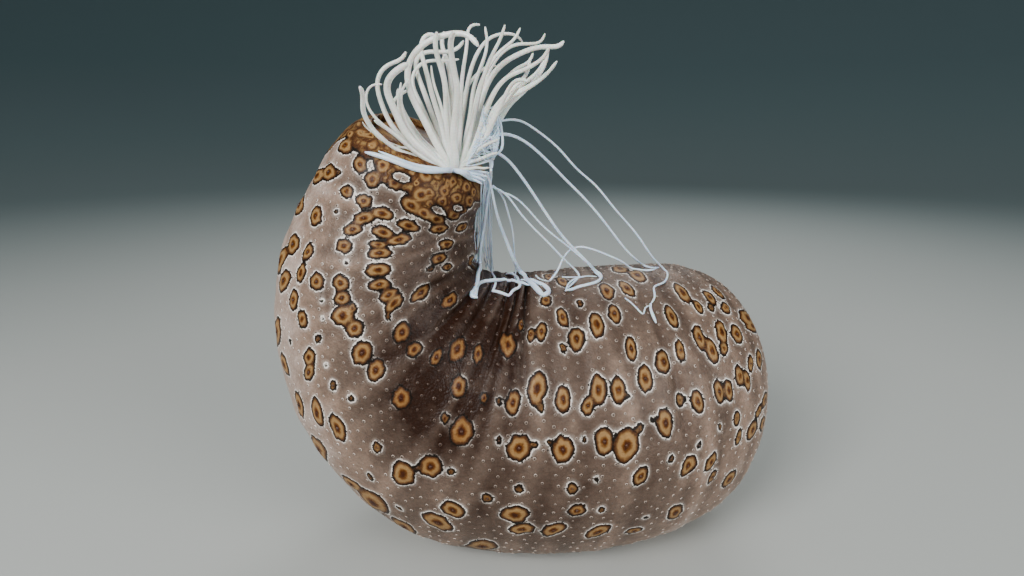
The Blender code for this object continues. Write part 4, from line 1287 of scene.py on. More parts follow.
def papilla_finish(name, rim, tip_colour, start, end):
    """Finish that goes from the rim's colour to the tip's, up each knob."""
    made, tree, _ = finish(name, *KNOB_SURFACE)
    share = span(tree, attribute(tree, "tip"), start, end)
    paint(tree, mix_colour(tree, share, rim, tip_colour))
    return made


def pale_papilla_finish():
    """The skin's tone at the foot and, darker, at the tip, and a pale ring between them that is a
    painted highlight.
    """
    made, tree, _ = finish("pale papilla", *KNOB_SURFACE)
    tip, tone_out = attribute(tree, "tip"), attribute(tree, "tone")
    dark = times(tree, span(tree, tip, 0.80, 0.95), 0.65)
    inside = mix_colour(tree, dark, ramp(tree, tone_out, SKIN_TONES), DARK_SKIN)
    # Painted highlight: a pale ring part way up each papilla.
    ring = ramp(tree, tip, PAPILLA_HIGHLIGHT_RING)
    paint(tree, mix_colour(tree, ring, inside, ramp(tree, tone_out, PAPILLA_HIGHLIGHT_TONES)))
    return made


pale_papilla = pale_papilla_finish()
spot_papilla = papilla_finish("spot papilla", linear(44, 18, 3), linear(78, 40, 12),
                              0.6, 0.98)

# %% Papillae and spot points
PAPILLA_SIZES, PAPILLA_RADIUS = (0.65, 1.15), 0.62
PAPILLA_HEIGHT, SPOT_POINT_HEIGHT = 0.30, 0.55
LEAST_SPOT = 1.2          # mm, radius of the smallest spot that has a point

feet, outs = skin_places[papilla_places], all_normals[papilla_places]
papillae = grow_knobs(
    "papillae", feet, outs, draw.uniform(*PAPILLA_SIZES, len(papilla_places)), pale_papilla,
    PAPILLA_RADIUS, PAPILLA_HEIGHT, rings=6, tone=tone[papilla_places])
knob_map(papillae, feet, outs, map_places(papilla_places))
big = [spot for spot in all_spots if spot[4].mean() > LEAST_SPOT]
middles, outs = [spot[0] for spot in big], [np.cross(spot[1], spot[2]) for spot in big]
nearest = [np.argmin(((plain_points - place) ** 2).sum(axis=1)) for place in middles]
spot_points = grow_knobs(
    "spot_papillae", middles, outs, [min(1.2, 0.55 + 0.12 * spot[4].mean()) for spot in big],
    spot_papilla, PAPILLA_RADIUS, SPOT_POINT_HEIGHT)
knob_map(spot_points, middles, outs, map_places(nearest))
for piece in (papillae, spot_points):
    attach(piece, "root")

# %% [markdown]
# ## Tubules and threads
# A tubule is a soft tube that tapers to a blunt tip. Each is listed by its route in the
# picture and the depth of its tip, and runs on one smooth curve from inside the anus.
# Geometry Nodes turn the routes into tubes: the routes are chains of points with a radius
# each, which become curves and then a tube round each curve.

# %% Routes of the fan
FAN_MOUTH, FAN_ROOT_Y = (452, 171), -15
ROOT_DEPTH, ROOT_SPREAD, ROOT_TO_MOUTH = 6, 1.5, 0.65
# Each tubule: the depth of its tip, its radius at root and tip, and the pixels it passes.
FAN = (
    (-37, 1.15, 0.8, ((446, 170), (426, 161), (402, 152), (386, 144), (374, 133), (366, 118),
                      (363, 106), (363, 94), (359, 88))),
    (-20, 0.8, 0.4, ((446, 168), (432, 160), (404, 140), (380, 122), (366, 106), (366, 90),
                     (373, 83), (383, 84))),
    (-30, 1.0, 0.6, ((448, 170), (432, 163), (413, 150), (397, 137), (383, 125), (374, 120))),
    (-12, 1.2, 0.7, ((447, 167), (432, 161), (410, 145), (394, 128), (383, 110), (378, 94),
                     (378, 78), (384, 67), (394, 62), (402, 61), (405, 53))),
    (-34, 1.5, 1.1, ((450, 171), (436, 162), (420, 148), (404, 130), (393, 108), (387, 89),
                     (389, 77), (397, 69), (407, 65))),
    (-6, 1.3, 1.0, ((448, 166), (432, 150), (416, 134), (406, 118), (400, 102), (398, 90))),
    (-30, 1.4, 0.9, ((450, 168), (440, 150), (430, 132), (421, 114), (412, 96), (407, 78),
                     (407, 66), (412, 55), (422, 46), (438, 38), (451, 34), (463, 32), (472, 37),
                     (477, 45))),
    (2, 1.2, 0.7, ((450, 166), (444, 146), (435, 122), (427, 100), (418, 78), (415, 64),
                   (418, 55), (426, 51), (437, 52), (449, 53), (458, 49), (463, 41))),
    (-16, 1.2, 0.7, ((452, 167), (447, 146), (440, 120), (431, 90), (424, 66), (421, 50),
                     (423, 37), (428, 31), (435, 34))),
    (-28, 1.3, 0.8, ((453, 169), (450, 145), (447, 116), (445, 90), (442, 70), (438, 56),
                     (435, 42), (436, 33))),
    (8, 1.2, 0.8, ((452, 165), (451, 140), (452, 110), (452, 86), (449, 70), (445, 56),
                   (442, 42), (445, 33))),
    (-38, 1.4, 0.9, ((455, 171), (454, 146), (455, 118), (457, 92), (455, 73), (452, 56),
                     (450, 40), (453, 31))),
    (-8, 1.2, 0.5, ((456, 168), (459, 140), (461, 116), (461, 92), (462, 73), (466, 54),
                    (468, 38), (468, 27), (472, 22), (479, 25))),
    (12, 1.2, 0.5, ((455, 165), (460, 136), (464, 108), (467, 84), (472, 66), (480, 50),
                    (490, 38), (504, 33), (517, 35), (523, 42))),
    (-2, 1.2, 0.5, ((457, 167), (466, 138), (471, 108), (475, 84), (481, 66), (486, 50),
                    (487, 38), (486, 26))),
    (-22, 1.3, 0.5, ((458, 169), (468, 142), (475, 112), (481, 88), (487, 66), (494, 50),
                     (502, 36), (506, 24))),
    (4, 1.2, 0.5, ((457, 165), (468, 140), (477, 110), (484, 84), (492, 64), (506, 50),
                   (522, 44), (540, 42), (544, 33))),
    (-12, 1.3, 0.8, ((458, 168), (468, 146), (477, 120), (483, 94), (491, 76), (506, 62),
                     (522, 53), (538, 46), (554, 47), (561, 47), (563, 42))),
    (-32, 1.2, 0.6, ((460, 170), (474, 146), (484, 118), (493, 94), (506, 78), (522, 70),
                     (535, 64), (546, 55), (548, 48))),
    (-22, 1.2, 0.6, ((462, 170), (476, 154), (490, 137), (499, 121), (509, 106), (522, 94),
                     (536, 78), (545, 63), (549, 50))),
    (-36, 1.2, 0.6, ((462, 171), (477, 152), (489, 132), (497, 114), (503, 98), (512, 84),
                     (520, 80), (528, 82))),
    (14, 1.2, 0.6, ((456, 165), (467, 146), (476, 126), (488, 102), (499, 84), (510, 76),
                    (519, 67), (528, 62), (532, 53))),
    (-26, 0.7, 0.3, ((452, 170), (424, 156), (398, 147), (383, 151), (370, 151))),
    (-24, 0.6, 0.3, ((450, 168), (408, 150), (384, 140), (368, 131), (362, 122))),
    (-20, 0.6, 0.3, ((462, 168), (484, 134), (505, 99), (513, 91), (518, 85), (528, 82))),
)
# Tubules that lie in the web at the right of the fan.
SIDE_FAN = (
    (-24, 1.0, 0.5, ((458, 168), (467, 164), (478, 159.5), (489, 155.5), (497, 153))),
    (-28, 1.0, 0.5, ((459, 167), (470, 157), (480, 149), (489, 143), (499, 139))),
    (-16, 1.0, 0.5, ((458, 166), (468, 155), (478, 145), (488, 136), (500, 129))),
    (-20, 0.9, 0.5, ((460, 169), (472, 166), (484, 162), (494, 158))),
    (-10, 0.9, 0.5, ((457, 165), (468, 150), (478, 138), (488, 127), (499, 118))),
    (-30, 0.9, 0.4, ((458, 170), (470, 168.5), (480, 168), (488, 167.5))),
)
# Strands that lie round the rim: radius, and a route in lengths and angles of the body.
BELT = (
    (1.1, ((252.6, 146), (252.4, 160), (252, 175), (251.4, 192), (250, 207))),
    (0.7, ((252.8, 150), (253.0, 165), (252.6, 182), (252.0, 200))),
    (0.9, ((252.8, 124), (252.6, 112), (252.2, 100), (251.8, 90))),
    (0.7, ((252.7, 128), (252.5, 116), (251.6, 103), (250.6, 92))),
    (0.5, ((252.8, 118), (252.8, 106), (252.6, 94), (252.4, 84))),
)
print("tubules listed", len(FAN) + len(SIDE_FAN) + len(BELT))

# %% Tree that makes tubes


def tube_tree():
    tree, taken, given = new_tree(
        "tubes round chains", "GeometryNodeTree",
        [("Chains", "NodeSocketGeometry", None), ("Sides", "NodeSocketInt", 10),
         ("Finish", "NodeSocketMaterial", None)],
        [("Tubes", "NodeSocketGeometry")])
    radius = named(tree, "radius")
    line = add(tree, "GeometryNodeMeshToCurve", {"Mesh": taken["Chains"]})["Curve"]
    line = add(tree, "GeometryNodeSetCurveRadius", {"Curve": line, "Radius": radius})["Curve"]
    circle = add(tree, "GeometryNodeCurvePrimitiveCircle", {
        "Radius": 1.0, "Resolution": taken["Sides"]})["Curve"]
    tube = add(tree, "GeometryNodeCurveToMesh", {
        "Curve": line, "Profile Curve": circle, "Scale": radius, "Fill Caps": True})["Mesh"]
    return hand_back(tree, tube, taken["Finish"], given["Tubes"])


TUBES = tube_tree()


def smooth_route(points, spacing):
    """Points about spacing apart on a smooth curve through the given ones."""
    points = np.array(points, float)
    knots = travelled_along(points)
    count = max(4, round(knots[-1] / spacing)) + 1
    return spline(knots, points, np.linspace(0, knots[-1], count))


def clear_of_skin(points, distances):
    """Points moved out of the skin to at least the given distances from it."""
    moved = []
    for point, distance in zip(points, np.broadcast_to(distances, len(points))):
        place, normal, _, away = skin_tree.find_nearest(Vector(point))
        place, normal = np.array(place), np.array(normal)
        outside = (point - place) @ normal > 0
        if not outside or away < distance:
            point = place + normal * distance
        moved.append(point)
    return np.array(moved)


def relaxed(points, rounds):
    """A strand's points, each drawn towards the middle of its neighbours."""
    points = points.copy()
    for _ in range(rounds):
        points[1:-1] = 0.5 * points[1:-1] + 0.25 * (points[:-2] + points[2:])
    return points


def taper(count, start, end, blunt=4):
    """Radii along a strand, rounded off over the last points."""
    radii = np.linspace(start, end, count)
    left = np.arange(count)[::-1]
    rounding = np.sqrt(1 - (1 - np.minimum((left + 0.25) / blunt, 1)) ** 2)
    return radii * rounding


def travelled_along(route):
    """Length from the start of a route to each of its points."""
    return np.concatenate([[0], np.cumsum(np.linalg.norm(np.diff(route, axis=0), axis=1))])


def strands_piece(name, strands, made, sides=10):
    """One mesh of tubes, from pairs of points and radii."""
    points = np.concatenate([route for route, _ in strands])
    radii = np.concatenate([radius for _, radius in strands])
    along = np.concatenate([travelled_along(route) for route, _ in strands])
    edges, start = [], 0
    for route, _ in strands:
        edges += [(start + i, start + i + 1) for i in range(len(route) - 1)]
        start += len(route)
    piece = mesh_object(name, points, [], edges, radius=radii * MM, along=along)
    run_tree(piece, TUBES, Sides=sides, Finish=made)
    point_outwards(piece)
    print(name, len(strands), "strands,", len(piece.data.polygons), "faces")
    return piece


# %% [markdown]
# ## Finishes of tubules and threads
# The tubules are milky white and wet, with fine darker rings across them, painted shade where the
# wall is gathered. The threads are the same stuff drawn out thin, and look bluish.

# %% Finishes of the strands
RING_PACE = 5.5           # radians per mm along a strand
RING_WANDER = 3.0


def strand_finish(name, colour, deep, ring_shade_depth):
    made, tree, place = finish(
        name, 1800.0, 0.5, 0.00008, 0.34, 0.15, Specular_IOR_Level=0.5,
        Subsurface_Weight=0.25, Subsurface_Scale=0.0015, Coat_Weight=0.2,
        Coat_Roughness=0.15)
    shade = ramp(tree, noise(tree, place, 160.0, 4.0, 0.6), ((0.3, deep), (0.62, colour)))
    # Painted shade: darker rings across the strand where the wall is gathered, fainter on the
    # threads.
    rings = times(tree, attribute(tree, "along"), RING_PACE)
    rings = plus(tree, rings, times(tree, noise(tree, place, 300.0), RING_WANDER))
    rings = times(tree, math_node(tree, "SINE", rings), ring_shade_depth)
    darker = ramp(tree, rings, ((0.0, grey(0.90)), (1.0, grey(1.0))))
    paint(tree, mix_colour(tree, 0.5, shade, darker, "MULTIPLY"))
    return made


tubule_white = strand_finish("tubule white", linear(250, 250, 244), linear(226, 227, 216), 1.0)
thread_blue = strand_finish("thread blue", linear(226, 240, 252), linear(196, 218, 242), 0.3)

# %% Fan of tubules
BETWEEN = 16              # tubules between the listed ones
BETWEEN_REACH, BETWEEN_ASIDE = (0.72, 0.98), 2.2
BETWEEN_ROOTS, BETWEEN_TIPS = (0.9, 1.25), (0.4, 0.7)
FAN_SHARE = 0.93          # of the listed radii
FAN_SPACING, THREAD_SPACING = 1.2, 1.4
SWAY, SWAY_WAVES = 0.35, 17
ROOT_POINTS = 8           # points of a tubule that may lie inside the body

root_middle = ANUS + ROOT_TO_MOUTH * (at_depth(*FAN_MOUTH, FAN_ROOT_Y) - ANUS)
root_middle = root_middle - ROOT_DEPTH * ANUS_HEADING


def fan_routes(listed):
    """Knots in space of each listed tubule, with its radii."""
    made = []
    for tip_y, root_radius, tip_radius, route in listed:
        depths = np.linspace(FAN_ROOT_Y, tip_y, len(route))
        root = root_middle + draw.uniform(-ROOT_SPREAD, ROOT_SPREAD, 3)
        knots = [root] + [at_depth(x, y, depth) for (x, y), depth in zip(route, depths)]
        made.append((np.array(knots), root_radius, tip_radius))
    return made


def between_routes(routes):
    """More tubules, each between two neighbours and a little to one side."""
    made = []
    for _ in range(BETWEEN):
        first = int(draw.integers(3, len(routes) - 5))
        share = draw.uniform(0.3, 0.7)
        steps = np.linspace(0, 1, 9)
        pair = [np.stack([np.interp(steps, np.linspace(0, 1, len(knots)), column)
                          for column in knots.T], axis=1)
                for knots, _, _ in routes[first:first + 2]]
        knots = pair[0] * share + pair[1] * (1 - share)
        reach = draw.uniform(*BETWEEN_REACH)
        away = draw.normal(0, BETWEEN_ASIDE, 3) * [1, 1.8, 1]
        knots = knots[0] + (knots - knots[0]) * reach + away * (steps ** 1.5)[:, None]
        made.append((knots, draw.uniform(*BETWEEN_ROOTS), draw.uniform(*BETWEEN_TIPS)))
    return made


def fan_strands():
    routes = fan_routes(FAN)
    made = []
    for knots, root_radius, tip_radius in (routes + between_routes(routes)
                                           + fan_routes(SIDE_FAN)):
        dense = smooth_route(knots, FAN_SPACING)
        sway = draw.uniform(0, TURN, 3)
        steps = np.linspace(0, 1, len(dense))[:, None]
        dense = dense + SWAY * np.sin(steps * SWAY_WAVES + sway) * steps
        radii = FAN_SHARE * taper(len(dense), root_radius, tip_radius, 2)
        outside = np.arange(len(dense)) > ROOT_POINTS
        moved = np.where(outside[:, None], clear_of_skin(dense, radii + 0.3), dense)
        made.append((relaxed(moved, 6), radii))
    return made


def on_skin(length, degrees, lift):
    place, normal, _, _ = skin_tree.find_nearest(Vector(skin_points(length, degrees)))
    return np.array(place) + np.array(normal) * lift


def belt_strands():
    made = []
    for radius, route in BELT:
        lying = [on_skin(*place, radius + 0.2) for place in route]
        knots = [root_middle, lying[0] + 1.8 * ANUS_HEADING] + lying[1:]
        dense = clear_of_skin(smooth_route(knots, THREAD_SPACING), radius * 0.8)
        made.append((dense, taper(len(dense), radius, radius * 0.7)))
    return made


tubules = strands_piece("tubules", fan_strands(), tubule_white, 12)
belt = strands_piece("belt", belt_strands(), thread_blue)

# %% [markdown]
# ## Plug in the anus
# Where the tubules leave the body they are packed into a thick plug. It is made of short,
# fat strands that stand side by side in the anus, over a brown, patched stopper.

# %% Plug
PLUG_LEVELS = ((0.675, -11.5), (0.675, -1.6), (0.64, -0.8), (0.32, -0.3))
PLUG_SIDES = 48
PLUG_COLOURS = ((0.38, linear(52, 26, 8)), (0.48, RIM_BROWN), (0.62, linear(134, 99, 50)))
ROOTS = 22                # short strands
ROOT_ANGLES, ROOT_RISE = (100, 215), (0.2, 3.5)


def plug_piece():
    """A stopper, brown and patched with the ochre of the rim."""
    turns = np.arange(PLUG_SIDES) * 360 / PLUG_SIDES
    rings = [skin_points(BODY_LENGTH, turns, share, rise) for share, rise in PLUG_LEVELS]
    ends = [skin_points(BODY_LENGTH, 0.0, 0.0, rise)
            for rise in (PLUG_LEVELS[0][1], PLUG_LEVELS[-1][1] + 0.3)]
    piece = stacked("plug", rings, ends)
    piece.data.materials.append(patched_finish(
        "plug brown", (1500.0, 0.7, 0.0002, 0.46, 0.2), (260.0, 3.0, 0.6), PLUG_COLOURS,
        **SKIN_GLOSS))
    return piece


def stub_strands():
    made = []
    mouth_of_fan = at_depth(*FAN_MOUTH, FAN_ROOT_Y)
    for _ in range(ROOTS):
        share, degrees = 0.50 * draw.random() ** 0.5, draw.uniform(*ROOT_ANGLES)
        foot = skin_points(BODY_LENGTH, degrees, share, -5.0)
        foot = 0.5 * foot + 0.5 * (root_middle - 2 * ANUS_HEADING)
        tip = skin_points(BODY_LENGTH, degrees, share * 0.9, draw.uniform(*ROOT_RISE))
        tip = 0.35 * tip + 0.65 * mouth_of_fan
        dense = smooth_route([foot, (foot + tip) / 2 + draw.normal(0, 0.4, 3), tip], 1.0)
        made.append((dense, taper(len(dense), 1.5, 1.2, 3)))
    return made


plug = plug_piece()
stubs = strands_piece("tubule_roots", stub_strands(), tubule_white)
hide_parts("tubule_fan")
for piece in (tubules, belt, plug, stubs):
    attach(piece, "root")

# %% [markdown]
# ## Web and threads
# At the right of the fan a web of sticky strands has formed, and a flat band of them lies
# over the rim. Threads run from the web to the back. Each thread has a route through the
# water and a route on the skin, both listed as the pixels that it passes.

# %% Routes of web and threads
WEB_Y, FRONT_Y = -19, -25
WEB = (
    ((492, 108), (499, 119), (502, 134), (501, 150), (496, 155)),
    ((486, 118), (490, 136), (494, 146), (490, 159)),
    ((474, 150), (484, 146), (493, 140), (502, 133)),
    ((496, 112), (498, 130), (497, 146), (493, 160)),
    ((482, 136), (490, 128), (499, 121)),
    ((476, 160), (484, 158), (491, 157), (498, 153)),
    ((491, 157), (492, 162), (492, 168)),
    ((455, 172), (466, 174), (476, 177), (485, 181)),
    ((456, 171), (468, 172.5), (479, 174.5), (488, 177)),
    ((456, 173), (465, 176), (474, 179.5), (482, 184)),
    ((455, 171), (469, 171), (481, 172), (489, 173)),
)
WEB_LEFT = ((484, 104), (480, 120), (475, 140), (470, 155), (466, 166))
WEB_RIGHT = ((504, 97), (500, 120), (500, 135), (498, 152), (490, 166))
WEB_FINE = 70
WEB_RADIUS, WEB_FINE_RADIUS = (0.5, 0.45), (0.17, 0.13)
# Each thread: its radius at start and end, the depth or the pixel of skin it starts at, its
# pixels in the water and then those on the skin. One that only lies on skin has no start.
SPANNING = (
    (0.4, 0.4, WEB_Y, ((500, 121), (512, 119.7), (523, 122), (536, 130), (548, 139), (561, 151),
                         (577, 169), (593, 183), (615, 209), (638, 236), (655, 260)),
     ((665, 271), (667, 278), (661.5, 284), (654, 287.5), (654.5, 296.5), (650.5, 304.5))),
    (0.43, 0.69, None, (), ((650.5, 304.5), (650.5, 309), (652.5, 315), (656, 323.5))),
    (0.53, 0.43, WEB_Y, ((499.5, 134.5), (508.5, 134.7), (523, 140.5), (538, 152), (552, 165.5),
                        (566, 180), (583, 197), (609, 228), (630, 254), (638, 261)),
     ((646, 267), (652, 268.5), (659, 268))),
    (0.53, 0.6, WEB_Y, ((498, 153), (507, 159.5), (516, 169.5), (526, 183), (536, 198),
                        (548.5, 217), (561, 234.5), (575.5, 250.5), (590, 265)),
     ((597, 273), (601, 276.5), (597, 282.5), (585, 286), (570, 290.5), (565, 291.5))),
    (0.43, 0.34, None, (), ((566, 291), (568, 285), (576, 279), (586, 277), (597, 277))),
    (0.36, 0.36, WEB_Y, ((493, 186), (501, 191.5), (512, 196), (529, 210.5), (543.5, 226.5),
                         (563, 242.5), (577, 254), (590, 266)), ((596, 274), (600, 278))),
    (0.36, 0.43, WEB_Y, ((493, 187), (504, 193), (519.5, 212), (535.5, 230), (551.5, 246),
                        (567, 262)), ((579, 276), (576, 281), (568, 288))),
    (0.4, 0.4, (550, 281), ((553, 277), (558, 269.5), (566, 254), (575.5, 247.5), (591.5, 249),
                              (612, 257), (624, 263)), ((633, 269.5), (647, 271), (657, 269))),
    (0.26, 0.34, None, (), ((625, 298.5), (634, 306), (642.5, 314.3), (645.7, 307.5),
                          (650.5, 305.5))),
    (0.34, 0.26, None, (), ((536, 276), (544, 281), (550, 281.5))),
    (0.26, 0.26, None, (), ((562, 277.5), (575, 277.5), (590, 276.5))),
)
HANGING = (
    (0.43, 0.86, WEB_Y, ((490, 160), (491, 175), (489, 190), (486, 210), (483, 232), (480, 250)),
     ((478.5, 264), (477, 275), (475, 284), (471, 293.5))),
    (1.03, 0.77, None, (), ((470.5, 292), (473, 297.5), (477.5, 298.5))),
    (0.77, 0.6, None, (), ((475.5, 296), (477, 288), (481, 283.5), (489, 281.5), (500.5, 281),
                          (510, 281.7), (521, 283.3), (530, 286))),
    (0.43, 0.52, WEB_Y, ((491, 170), (489, 190), (489, 215), (491, 240)),
     ((491.8, 264), (493.4, 276), (495, 287), (492.6, 292))),
    (0.6, 0.52, None, (), ((493, 291.5), (502, 294), (510, 296), (512.6, 292), (519.7, 288),
                          (519.5, 282), (516, 276.5), (511, 274), (506, 275))),
    (0.3, 1.12, FRONT_Y, ((487, 172), (491, 186), (495, 206), (500, 224), (507, 242.5),
                          (515, 262)),
     ((521, 274), (526, 279), (531, 284), (537, 290.5), (543, 297))),
    (0.95, 0.6, None, (), ((542, 296.5), (548, 294), (545, 287), (537, 283.3), (528, 281.3),
                          (521, 280.5))),
    (0.34, 0.34, WEB_Y, ((493, 187), (501.5, 194.7), (508.6, 214), (512.6, 230), (514, 249),
                       (515, 261)), ((516, 274), (514, 280))),
    (0.3, 0.3, WEB_Y, ((486, 172), (484, 190), (482, 215), (480, 240)), ((479, 262), (480, 272))),
)
CURTAIN = 20
CURTAIN_RADIUS = 0.14
CURTAIN_TOP = ((479, 178), (493, 174))
CURTAIN_FOOT = ((472, 262), (496, 268))
CURTAIN_DEPTHS = (-20, -4)

# %% Web and threads


def seen_skin(x, y, lift):
    """Place just above the skin at a pixel, or at the first one below it that shows skin."""
    for step in range(40):
        found = seen_on_skin(x, y + 0.5 * step)
        if found:
            return found[0] + found[1] * lift
    raise ValueError(f"no skin below {x}, {y}")


def thread(start_radius, end_radius, start, water, lying):
    """A thread through the water and on over the skin."""
    knots = [seen_skin(x, y, end_radius * 0.6) for x, y in lying]
    if water:
        first = [seen_skin(*start, start_radius * 0.6)] if isinstance(start, tuple) else []
        start_y = first[0][1] if first else start
        depths = np.linspace(start_y, knots[0][1], len(water) + 1)
        knots = first + [at_depth(x, y, d) for (x, y), d in zip(water, depths)] + knots
    dense = smooth_route(knots, THREAD_SPACING)
    radii = np.linspace(start_radius, end_radius, len(dense))
    return clear_of_skin(dense, radii * 0.55), taper(len(dense), start_radius, end_radius, 3)


def curtain():
    """Fine threads that hang beside the body, from the rim down into the crook."""
    made = []
    for _ in range(CURTAIN):
        share, drift = draw.random(), draw.uniform(-0.15, 0.15)
        top, foot = [np.array(ends[0]) + share_of * (np.array(ends[1]) - ends[0])
                     for ends, share_of in ((CURTAIN_TOP, share), (CURTAIN_FOOT, share + drift))]
        top, foot = at_depth(*top, draw.uniform(*CURTAIN_DEPTHS)), seen_skin(*foot, 0.1)
        middle_knot = (top + foot) / 2 + draw.normal(0, 1.2, 3)
        dense = clear_of_skin(smooth_route([top, middle_knot, foot], 2.5), CURTAIN_RADIUS * 0.8)
        made.append((dense, taper(len(dense), CURTAIN_RADIUS, CURTAIN_RADIUS, 2)))
    return made


def web_strands():
    made = []
    for route in WEB:
        dense = smooth_route([at_depth(x, y, WEB_Y) for x, y in route], THREAD_SPACING)
        made.append((clear_of_skin(dense, 0.8), taper(len(dense), *WEB_RADIUS, 2)))
    for _ in range(WEB_FINE):
        ends = []
        for side in (WEB_LEFT, WEB_RIGHT):
            steps = np.linspace(0, 1, len(side))
            at = draw.random()
            ends.append(at_depth(*[np.interp(at, steps, column) for column in np.array(side).T],
                                 WEB_Y + draw.uniform(-3, 3)))
        sag = (ends[0] + ends[1]) / 2 + draw.normal(0, 0.8, 3)
        dense = clear_of_skin(smooth_route([ends[0], sag, ends[1]], 2.0), 0.3)
        made.append((dense, taper(len(dense), *WEB_FINE_RADIUS, 2)))
    return made


spanning = strands_piece("threads_spanning_fine", [thread(*route) for route in SPANNING],
                         thread_blue)
hanging = strands_piece("threads_hanging_fine",
                        [thread(*route) for route in HANGING] + curtain(), thread_blue)
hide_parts("threads_spanning")
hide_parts("threads_hanging")
for piece in (spanning, hanging):
    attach(piece, "root")
web = strands_piece("web", web_strands(), thread_blue, 8)
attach(web, "root")

# %% [markdown]
# ## Mouth
# The mouth faces the ground. Its tentacles are drawn in, so only their shield-like tips
# show, as two rings of dark knobs in the pit.

# %% Mouth
TIP_CIRCLES, TIP_LEVELS = (0.36, 0.58), (0.8, 1.2)
TIP_SIZES = (0.9, 1.15)

mouth_floor = mouth_place - MOUTH_DEPTH * mouth_out
tip_places, tip_sizes = [mouth_floor + 0.6 * mouth_out], [1.6]
for index in range(MOUTH_PLEATS):
    turn = 2 * math.pi * index / MOUTH_PLEATS
    circle, level = MOUTH_RADIUS * TIP_CIRCLES[index % 2], TIP_LEVELS[index % 2]
    spread = math.cos(turn) * mouth_across + math.sin(turn) * mouth_along
    tip_places.append(mouth_floor + circle * spread + level * mouth_out)
    tip_sizes.append(draw.uniform(*TIP_SIZES))
mouth_brown = papilla_finish("mouth brown", linear(52, 32, 26), linear(120, 92, 70),
                             0.3, 0.95)
mouth = grow_knobs("mouth_tentacles", tip_places, [mouth_out] * len(tip_places), tip_sizes,
                   mouth_brown, 1.35, 1.6, 14, 9)
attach(mouth, "root")
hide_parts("mouth")

# %% [markdown]
# ## Sole and tube feet
# The sea cucumber creeps on a flat pale sole with many tube feet, each a short soft column
# that ends in a sucker. The pad is a low ellipse that is sunk into the belly.

# %% Sole
SOLE_CENTRE, SOLE_HALF = np.array([27.0, 3.0]), np.array([47.0, 23.0])
SOLE_LEVELS = ((0.0, 1.1), (0.5, 0.8), (1.0, 0.8), (0.8, 1.6), (0.0, 3.2))
SOLE_MARGIN = 1.5
SOLE_SIDES = 96
SOLE_COLOURS = ((0.3, linear(186, 166, 156)), (0.7, linear(214, 198, 188)))

turns = np.radians(np.arange(SOLE_SIDES) * 360 / SOLE_SIDES)
round_sole = np.stack([np.cos(turns), np.sin(turns)], axis=1)
sole_rings = []
for inset, level in SOLE_LEVELS:
    flat = SOLE_CENTRE + round_sole * (SOLE_HALF - SOLE_MARGIN + inset)
    sole_rings.append(np.column_stack([flat, np.full(SOLE_SIDES, level)]))
ends = [[*SOLE_CENTRE, SOLE_LEVELS[0][1]], [*SOLE_CENTRE, SOLE_LEVELS[-1][1]]]
sole = stacked("sole_pad", sole_rings, ends)
sole.data.materials.append(patched_finish(
    "pale sole", (1100.0, 0.6, 0.0002, 0.5, 0.15), (200.0, 4.0), SOLE_COLOURS))
print("sole", len(sole.data.polygons), "faces")

# %% Tube feet
FOOT_GAP, ROW_GAP, FOOT_SHIFT = 2.9, 3.0, 0.6
FOOT_LEVEL, FOOT_MARGIN = 0.85, 3
FOOT_SIZES = (0.85, 1.1)

feet = []
for row in range(-7, 8):
    for step in range(-16, 17):
        offset = [step * FOOT_GAP, row * ROW_GAP] + draw.uniform(-FOOT_SHIFT, FOOT_SHIFT, 2)
        if ((offset / (SOLE_HALF - FOOT_MARGIN)) ** 2).sum() < 1:
            feet.append((*(SOLE_CENTRE + offset), FOOT_LEVEL))
foot_finish = papilla_finish("tube feet", linear(206, 186, 172), linear(150, 116, 96),
                             0.6, 0.95)
tube_feet = grow_knobs("tube_feet", feet, [(0.0, 0.0, -1.0)] * len(feet),
                       draw.uniform(*FOOT_SIZES, len(feet)), foot_finish, 0.8, 0.72, 8, 6)
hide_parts("sole")
for piece in (sole, tube_feet):
    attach(piece, "root")

# %% [markdown]
# ## Floor and light
# A plain pale floor, three soft lamps and a weak, wide sun. A large lamp stands in front on
# the left and a weaker one in front on the right. One behind parts the white tubules from
# the background.

# %% Floor
FLOOR_RADIUS, SWEEP_RADIUS, WALL_HEIGHT = 1.5, 1.0, 1.8
FLOOR_SIDES = 96
FLOOR_COLOURS = ((0.0, (0.40, 0.41, 0.39, 1)), (0.5, (0.20, 0.24, 0.24, 1)),
                 (1.0, (0.10, 0.15, 0.16, 1)))


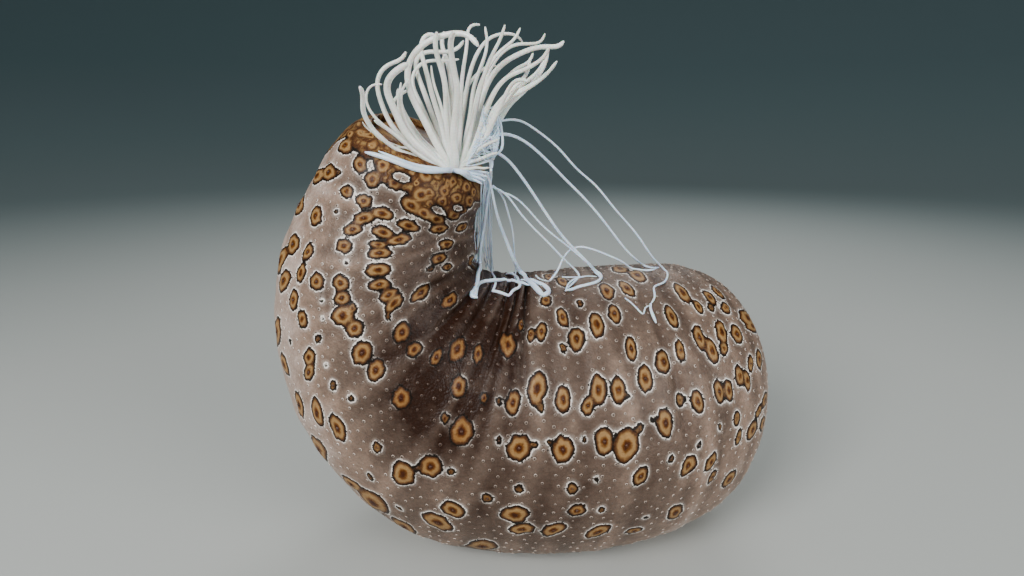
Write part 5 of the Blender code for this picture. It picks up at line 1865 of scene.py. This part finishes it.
def sweep():
    """Profile turned round: a flat floor that curves up into a wall."""
    turns = np.linspace(0, math.pi / 2, 17)
    radii = np.concatenate([[0.4, 0.9], FLOOR_RADIUS + SWEEP_RADIUS * np.sin(turns),
                            [FLOOR_RADIUS + SWEEP_RADIUS]])
    heights = np.concatenate([[0, 0], SWEEP_RADIUS * (1 - np.cos(turns)), [WALL_HEIGHT]])
    around = np.radians(np.arange(FLOOR_SIDES) * 360 / FLOOR_SIDES)
    rings = [np.column_stack([radius * np.cos(around), radius * np.sin(around),
                              np.full(FLOOR_SIDES, height)])
             for radius, height in zip(radii, heights)]
    points = np.concatenate(rings + [[[0, 0, 0]]]) / MM
    walls = grid_faces(len(rings), FLOOR_SIDES)[:(len(rings) - 1) * FLOOR_SIDES]
    middle_fan = [(len(points) - 1, (i + 1) % FLOOR_SIDES, i) for i in range(FLOOR_SIDES)]
    return mesh_object("floor", points, walls + middle_fan)


def floor_finish():
    """Pale near the object, and darker with the distance from it."""
    made = bpy.data.materials.new("pale floor")
    made.use_nodes = True
    tree = made.node_tree
    place = add(tree, "ShaderNodeTexCoord", {})["Object"]
    distance = add(tree, "ShaderNodeVectorMath", {0: place}, operation="LENGTH")["Value"]
    paint(tree, ramp(tree, span(tree, distance, 0.35, 2.3), FLOOR_COLOURS))
    tree.nodes["Principled BSDF"].inputs["Roughness"].default_value = 0.9
    return made


floor = sweep()
floor.data.shade_smooth()
floor.data.materials.append(floor_finish())
floor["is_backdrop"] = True

# %% Light
# Each lamp: its place, power and size.
LAMPS = {"key": ((-0.50, -0.70, 0.60), 12.0, 0.40), "fill": ((0.75, -0.60, 0.40), 6.5, 0.5),
         "back": ((0.25, 0.80, 0.80), 4.0, 0.5)}
AIM = Vector((0.01, 0.0, 0.09))
SKY_COLOUR = (0.15, 0.20, 0.21, 1)


def new_light(name, kind, power):
    light = bpy.data.objects.new(name, bpy.data.lights.new(name, kind))
    light.data.energy = power
    scene.collection.objects.link(light)
    return light


for name, (place, power, size) in LAMPS.items():
    lamp = new_light(name, "AREA", power)
    lamp.data.size = size
    lamp.location = place
    lamp.rotation_euler = (AIM - Vector(place)).to_track_quat("-Z", "Y").to_euler()
sun = new_light("sky", "SUN", 0.5)
sun.data.angle = math.radians(60)
sun.rotation_euler = (math.radians(18), math.radians(-14), 0)
world = scene.world or bpy.data.worlds.new("studio")
scene.world = world
world.use_nodes = True
sky = world.node_tree.nodes["Background"].inputs
sky["Color"].default_value, sky["Strength"].default_value = SKY_COLOUR, 1.0

# %% Sizes, and a helper for boxes
triangles = sum(len(face.vertices) - 2 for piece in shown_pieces() for face in piece.data.polygons)
print("triangles in all", triangles)


def plain(box):
    return [[float(value) for value in corner] for corner in box]
